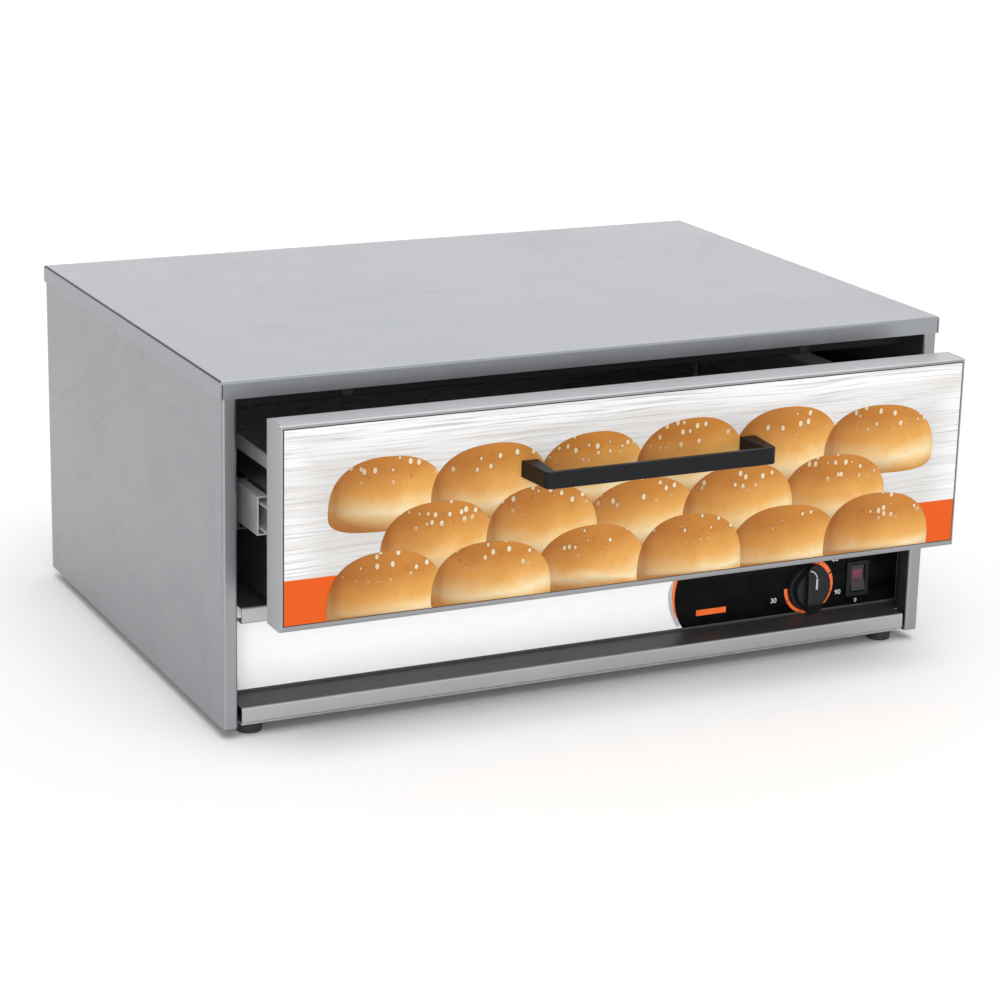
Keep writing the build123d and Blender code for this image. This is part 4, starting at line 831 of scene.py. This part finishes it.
def print_rolls():
    """Three rows of rolls, the lowest in front, each row overlapping the one behind it."""
    chance = random.Random(ROLL_SEED)
    outline = roll_outline()
    bm = bmesh.new()
    mark = bm.verts.layers.float_vector.new("roll")
    for row, (foot, first, last, count) in enumerate(ROLL_ROWS):
        for index in range(count):
            middle = first + (last - first) * index / (count - 1)
            width = ROLL_W * chance.uniform(*ROLL_WIDTHS)
            height = ROLL_H * chance.uniform(*ROLL_HEIGHTS)
            lean = math.radians(chance.uniform(*ROLL_LEANS))
            tone = chance.random()
            level = 2 * row + 1 + index % 2
            placed = []
            for across, rise in outline:
                x, z = across * width / 2, rise * height
                x, z = x * math.cos(lean) + z * math.sin(lean), z * math.cos(lean) - x * math.sin(lean)
                placed.append((middle + x, max(foot + z, PRINT_LOW.z + PRINT_EDGE)))
            verts = ink_patch(bm, placed, PRINT_LOW.y - level * INK_STEP)
            for vert, (across, rise) in zip(verts, outline + outline):
                vert[mark] = (across, rise, tone)
    ink_piece("printed_rolls", bm, baked_crust(), "drawer")


print_rolls()


# Handle: one black moulded bar with two feet, held by a screw through the drawer front into each
# foot. The skin is finely pebbled and has gone a little shiny where fingers pull on it.

HANDLE_BLACK = (0.006, 0.0066, 0.008, 1)
HANDLE_RUBBED = (0.030, 0.031, 0.034, 1)

finish(["handle"],
       moulded("handle_nylon", HANDLE_BLACK, HANDLE_RUBBED, rough=(0.34, 0.5), pebble=1800.0, gloss=0.18))


# Control panel films: a white printed film covers the whole recessed face, and a black one with a
# round end is glued over its right part. Their ink is plain: a heat ring round the knob, one bar,
# two stripes, and numbers.

FILM_WHITE = (0.98, 0.98, 0.98, 1)
FILM_GREY = (0.955, 0.955, 0.95, 1)
FILM_BLACK = (0.0010, 0.0011, 0.0013, 1)
FILM_SCUFF = (0.005, 0.005, 0.006, 1)
INK_CLOUD_SIZE = 60.0
INK_RANGE = (0.0, 0.8, 0.4, 0.7)
FILM_ROUGH = (0.32, 0.42)
FILM_RELIEF = (0.25, 0.01 * MM)
INK_SILVER = ((0.50, 0.51, 0.52, 1), (0.42, 0.43, 0.44, 1))
INK_ORANGE = ((0.98, 0.18, 0.025, 1), (0.85, 0.12, 0.010, 1))
INK_WHITE = ((0.85, 0.85, 0.85, 1), (0.72, 0.72, 0.72, 1))
INK_DARK = ((0.022, 0.022, 0.024, 1), (0.045, 0.045, 0.048, 1))
BLACK_LOW, BLACK_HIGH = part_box("control_label")
KNOB_LOW, KNOB_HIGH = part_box("control_knob")
BLACK_FRONT = BLACK_LOW.y
WHITE_FRONT = BLACK_HIGH.y
INK_LIFT = 0.06 * MM
TICK_LIFT = 1.6 * INK_LIFT
INK_WELD = 0.002 * MM
RING_MIDDLE = ((KNOB_LOW.x + KNOB_HIGH.x) / 2, 48.0 * MM)
RING_INNER = (19.3 * MM, 19.3 * MM)
RING_OUTER = (23.7 * MM, 23.7 * MM)
RING_PARTS = ((0, 64), (68, 270))
TICK_ANGLES = (24, 66, 110, 154, 198, 242)
TICK_HALF = 1.1
BAR_OUTLINE = (
    (113.8 * MM, 35.0 * MM), (141.9 * MM, 35.0 * MM), (141.9 * MM, 40.0 * MM), (113.8 * MM, 40.0 * MM),
)
END_MIDDLE = (139.6 * MM, 53.0 * MM)
END_INNER = (46.5 * MM, 46.5 * MM)
ORANGE_STRIPE = (
    # outer radius at the start and at the end of the part, its first angle, its last angle
    ((47.6 * MM, 50.2 * MM), 248, 296),
)
SILVER_STRIPE = (
    ((50.0 * MM, 53.0 * MM), 239.5, 276),
    ((53.0 * MM, 50.2 * MM), 276, 292),
)
NUMBERS = (
    # text, middle across, middle height, size
    ("30", 187.5 * MM, 39.0 * MM, 6.0 * MM),
    ("60", 246.0 * MM, 68.5 * MM, 6.0 * MM),
    ("90", 250.0 * MM, 39.0 * MM, 6.0 * MM),
    ("1", 268.2 * MM, 70.5 * MM, 5.0 * MM),
    ("0", 268.2 * MM, 29.8 * MM, 5.0 * MM),
)


def screen_print_effect():
    """The mesh texture of a screen print, and the faint cloud in its ink."""
    group, takes, gives = effect("screen print", {"Mesh Size": 2600.0}, ["Mesh", "Cloud"])
    place = own_place(group)
    mesh = node(group, "TexVoronoi", {"Vector": place, "Scale": takes["Mesh Size"]}, feature="SMOOTH_F1")
    return deliver(group, gives, mesh.outputs["Distance"], noise(group, place, INK_CLOUD_SIZE, 4.0))


SCREEN_PRINT = screen_print_effect()


def printed_film(name, tone, second, gloss=0.5):
    """Satin film or its ink, with a faint cloud of tone and the texture of a screen print."""
    material, tree = blank_material(name)
    ink = use(tree, SCREEN_PRINT)
    hands = use(tree, HANDLING, Size=22.0, Amount=0.7)
    mixed = colour_mix(tree, ranged(tree, ink["Cloud"], *INK_RANGE), tone, second)
    wiped = colour_mix(tree, hands["Hairline"], mixed, second)
    return surfaced(material, {"Base Color": wiped, "Roughness": ranged(tree, ink["Cloud"], *FILM_ROUGH),
                               "Normal": relief(tree, ink["Mesh"], *FILM_RELIEF)}, gloss)


def sector(middle, inner, outer, start, end, steps=48):
    """Outline of a piece of ring. Its two radii may change from start to end, clockwise from the top."""
    def arc(radii, share):
        """The point so far along an edge."""
        radius = radii[0] + (radii[1] - radii[0]) * share
        angle = math.radians(start + (end - start) * share)
        return middle[0] + radius * math.sin(angle), middle[1] + radius * math.cos(angle)
    shares = [index / steps for index in range(steps + 1)]
    return [arc(outer, share) for share in shares] + [arc(inner, share) for share in reversed(shares)]


def lay_ink(name, outlines, front, ink):
    """Ink of one colour on the control panel."""
    bm = bmesh.new()
    for outline in outlines:
        ink_patch(bm, outline, front)
    ink_piece(name, bm, printed_film(name, *ink), "casing")


def set_number(bm, text, x, z, size):
    """A plain number in the front plane, as a closed body of ink."""
    curve = bpy.data.curves.new("number", "FONT")
    curve.body = text
    curve.size = size
    curve.extrude = INK_LIFT / 4
    curve.align_x = "CENTER"
    curve.align_y = "CENTER"
    holder = bpy.data.objects.new("number", curve)
    mesh = bpy.data.meshes.new_from_object(holder)
    upright = Matrix.Rotation(math.pi / 2, 4, "X")
    mesh.transform(Matrix.Translation((x, BLACK_FRONT - INK_LIFT / 2, z)) @ upright)
    bm.from_mesh(mesh)
    bpy.data.objects.remove(holder)
    bpy.data.curves.remove(curve)
    bpy.data.meshes.remove(mesh)


def print_numbers():
    """The numbers round the heat ring, and those above and under the switch."""
    bm = bmesh.new()
    for number in NUMBERS:
        set_number(bm, *number)
    bmesh.ops.remove_doubles(bm, verts=bm.verts, dist=INK_WELD)
    ink_piece("ink_numbers", bm, printed_film("ink_numbers", *INK_WHITE), "casing")


finish(["fascia_label"], printed_film("white_fascia_film", FILM_WHITE, FILM_GREY))
finish(["control_label"], printed_film("black_control_film", FILM_BLACK, FILM_SCUFF, gloss=0.07))
lay_ink("ink_heat_ring", [sector(RING_MIDDLE, RING_INNER, RING_OUTER, *part) for part in RING_PARTS],
        BLACK_FRONT - INK_LIFT, INK_ORANGE)
lay_ink("ink_lamp_bar", [BAR_OUTLINE], BLACK_FRONT - INK_LIFT, INK_ORANGE)
lay_ink("ink_orange_stripe", [sector(END_MIDDLE, END_INNER, *part) for part in ORANGE_STRIPE],
        WHITE_FRONT - INK_LIFT, INK_ORANGE)
lay_ink("ink_silver_stripe", [sector(END_MIDDLE, END_INNER, *part) for part in SILVER_STRIPE],
        WHITE_FRONT - INK_LIFT / 2, INK_SILVER)
lay_ink("ink_ring_ticks",
        [sector(RING_MIDDLE, RING_INNER, RING_OUTER, angle - TICK_HALF, angle + TICK_HALF, 4)
         for angle in TICK_ANGLES],
        BLACK_FRONT - TICK_LIFT, INK_DARK)
print_numbers()


# Knob, shaft and switch: a matt phenolic skirt knob with a finger bar and a pale line, pressed on to
# the shaft, and a silver line along the top of the bar as a painted highlight. Beside it a nylon rocker
# switch is snapped into the panel, and the glow of its lamp is painted into the upper half of its red lens.

KNOB_BLACK = (0.0085, 0.009, 0.0105, 1)
KNOB_RUBBED = (0.030, 0.031, 0.034, 1)
SWITCH_BLACK = (0.009, 0.009, 0.010, 1)
SWITCH_RUBBED = (0.05, 0.05, 0.055, 1)
ROCKER_LOW, ROCKER_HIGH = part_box("rocker_button")
LENS_PAINTED_GLOW = (0.155, 0.014, 0.052, 1)
LENS_DARK = (0.024, 0.003, 0.007, 1)
LENS_RIM_SIDE = 4.1 * MM
LENS_RIM_END = 3.2 * MM
LENS_SPAN = (48.5 * MM, 51.5 * MM)
LENS_COAT = 0.1
LENS_RIBS = 420.0
LENS_CLOUD_SIZE = 260.0
LENS_CLOUD = 0.3
GLOW_SPAN = (0.1, 1.1)
LENS_ROUGH = (0.12, 0.22)
LENS_RELIEF = (0.15, 0.05 * MM)
POINTER_LOW, POINTER_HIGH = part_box("knob_pointer")
LINE_BEND = 5.5 * MM
LINE_RUN = 1.2 * MM
LINE_W = 1.0 * MM
GRIP_FLAT_TOP = 58.8 * MM
GRIP_SLOPE = 4.0 / 10.5


def painted_knob_highlight():
    """Painted highlight: a silver line that goes on from the pointer over the sloped end of the grip and
    turns to the left, along the rounded top of the bar.
    """
    middle = (POINTER_LOW.x + POINTER_HIGH.x) / 2
    bend = (middle - LINE_BEND, POINTER_HIGH.z + LINE_RUN)
    arc = sector(bend, (LINE_BEND - LINE_W / 2,) * 2, (LINE_BEND + LINE_W / 2,) * 2, 0, 90, 16)
    half = len(arc) // 2
    foot = [(middle + LINE_W / 2, POINTER_HIGH.z), (middle - LINE_W / 2, POINTER_HIGH.z)]
    bm = bmesh.new()
    for vert in ink_patch(bm, arc[:half] + foot + arc[half:], KNOB_LOW.y - INK_LIFT):
        vert.co.y += max(0, vert.co.z - GRIP_FLAT_TOP) * GRIP_SLOPE
    ink_piece("painted_highlight_knob_line", bm, printed_film("painted_highlight_knob_line", *INK_SILVER), "knob")


def red_lens():
    """Red plastic in a black rim, with the glow of the lamp behind it painted bright into its upper half, and
    dark at the foot.
    """
    material, tree = blank_material("rocker_lens")
    place = own_place(tree)
    ribs = node(tree, "TexWave", {"Vector": place, "Scale": LENS_RIBS}, bands_direction="Z").outputs["Fac"]
    cloud = noise(tree, place, LENS_CLOUD_SIZE, 3.0)
    rise = ranged(tree, axes(tree, place)["Z"], 0.0, 1.0, *LENS_SPAN)
    patchy = ranged(tree, calc(tree, "MULTIPLY_ADD", cloud, LENS_CLOUD, rise), 0.0, 1.0, *GLOW_SPAN)
    rim = rim_mask(tree, ROCKER_LOW, ROCKER_HIGH, LENS_RIM_SIDE, LENS_RIM_END)
    # Painted glow: the upper half of the lens is brighter, as if lit from behind.
    rimmed = colour_mix(tree, rim, colour_mix(tree, patchy, LENS_DARK, LENS_PAINTED_GLOW), SWITCH_BLACK)
    return surfaced(material, {"Base Color": rimmed, "Roughness": ranged(tree, cloud, *LENS_ROUGH),
                               "Normal": relief(tree, ribs, *LENS_RELIEF), "Coat Weight": LENS_COAT})


finish(["control_knob"], moulded("knob_phenolic", KNOB_BLACK, KNOB_RUBBED, rough=(0.38, 0.52), gloss=0.3))
finish(["switch_housing"],
       moulded("switch_nylon", SWITCH_BLACK, SWITCH_RUBBED, rough=(0.3, 0.45), gloss=0.22))
finish(["knob_pointer"], printed_film("pointer_inlay", *INK_SILVER))
finish(["rocker_button"], red_lens())
painted_knob_highlight()


# Heating element, thermostat and terminals: a rod element whose sheath has darkened with heat, a
# capillary thermostat with a copper bulb, a safety cut-out, brass studs, and the nylon block where
# the supply is joined.

SHEATH_DARK = (0.085, 0.078, 0.072, 1)
SHEATH_BLUED = (0.16, 0.13, 0.12, 1)
COPPER = (0.72, 0.34, 0.20, 1)
COPPER_TARNISH = (0.30, 0.14, 0.08, 1)
BRASS = (0.70, 0.52, 0.22, 1)
BRASS_TARNISH = (0.38, 0.26, 0.10, 1)
PHENOLIC = (0.36, 0.30, 0.21, 1)
PHENOLIC_DUSTY = (0.50, 0.46, 0.38, 1)
NYLON_NATURAL = (0.66, 0.62, 0.52, 1)
NYLON_YELLOWED = (0.55, 0.48, 0.34, 1)
TARNISH_SPAN = (0.36, 0.66)
TOOTH_SIZE = 900.0
TOOTH_RELIEF = (0.2, 0.02 * MM)
BARE_WEAR_WIDTH = 0.4 * MM
BARE_WEAR = 0.6


def tarnish_effect():
    """Patches of tarnish, and the fine tooth of a bare surface."""
    group, takes, gives = effect("tarnish", {"Patch Size": 70.0}, ["Patch", "Tooth"])
    place = own_place(group)
    return deliver(group, gives, noise(group, place, takes["Patch Size"], 6.0, 0.65),
                   noise(group, place, TOOTH_SIZE, 3.0))


TARNISH = tarnish_effect()


def tarnished_metal(name, bright, tarnish, rough=(0.25, 0.5)):
    """Bare metal that has gone patchy with heat and age."""
    material, tree = blank_material(name)
    age = use(tree, TARNISH)
    worn = use(tree, EDGE_WEAR, Width=BARE_WEAR_WIDTH, Break_Up=300.0)["Worn"]
    aged = colour_mix(tree, ranged(tree, age["Patch"], 0.0, 1.0, *TARNISH_SPAN), bright, tarnish)
    rubbed = colour_mix(tree, ranged(tree, worn, 0.0, BARE_WEAR), aged, bright)
    return surfaced(material, {"Base Color": rubbed, "Roughness": ranged(tree, age["Patch"], *rough),
                               "Normal": relief(tree, age["Tooth"], *TOOTH_RELIEF), "Metallic": 1.0})


finish(["heating_element"],
       tarnished_metal("heated_sheath", SHEATH_BLUED, SHEATH_DARK, rough=(0.45, 0.65)))
finish(["thermostat_bulb"], tarnished_metal("drawn_copper", COPPER, COPPER_TARNISH))
finish(["element_terminals", "thermostat_shaft"], tarnished_metal("turned_brass", BRASS, BRASS_TARNISH))
finish(["thermostat", "high_limit"], moulded("phenolic_case", PHENOLIC, PHENOLIC_DUSTY))
finish(["terminal_block"], moulded("natural_nylon", NYLON_NATURAL, NYLON_YELLOWED))


# Leads: heat resistant wires in woven glass sleeves, one colour to each job. They are clipped along
# the floor between the terminal block, the switch, the thermostat, the element and the earth stud.

LEAD_COLOURS = {
    "lead_supply": ((0.13, 0.055, 0.025, 1), (0.20, 0.10, 0.06, 1)),
    "lead_heater": ((0.42, 0.030, 0.022, 1), (0.55, 0.10, 0.08, 1)),
    "lead_return": ((0.035, 0.10, 0.36, 1), (0.08, 0.18, 0.48, 1)),
    "lead_earth": ((0.07, 0.27, 0.06, 1), (0.55, 0.50, 0.08, 1)),
}
THREAD_SIZE = 1300.0
THREAD_TONE = 0.7
RUB_SIZE = 120.0
SLEEVE_SHEEN = 0.2
SLEEVE_ROUGH = (0.55, 0.8)
SLEEVE_RELIEF = (0.6, 0.08 * MM)


def braid_effect():
    """Crossed threads of a woven sleeve, and where it has been rubbed."""
    group, takes, gives = effect("braid", {"Thread Size": THREAD_SIZE}, ["Thread", "Relief", "Rubbed"])
    place = own_place(group)
    threads = node(group, "TexVoronoi", {"Vector": place, "Scale": takes["Thread Size"]},
                   distance="MANHATTAN")
    thread = node(group, "SeparateColor", {"Color": threads.outputs["Color"]}).outputs[0]
    return deliver(group, gives, thread, threads.outputs["Distance"], noise(group, place, RUB_SIZE, 4.0))


BRAID = braid_effect()


def woven_sleeve(name, first, second):
    """A glass fibre sleeve: crossed threads of two near tones."""
    material, tree = blank_material(name)
    braid = use(tree, BRAID)
    mixed = colour_mix(tree, ranged(tree, braid["Thread"], 0.0, THREAD_TONE), first, second)
    return surfaced(material, {"Base Color": mixed, "Roughness": ranged(tree, braid["Rubbed"], *SLEEVE_ROUGH),
                               "Normal": relief(tree, braid["Relief"], *SLEEVE_RELIEF, invert=True),
                               "Sheen Weight": SLEEVE_SHEEN})


for lead, colours in LEAD_COLOURS.items():
    finish([lead], woven_sleeve(lead + "_sleeve", *colours))
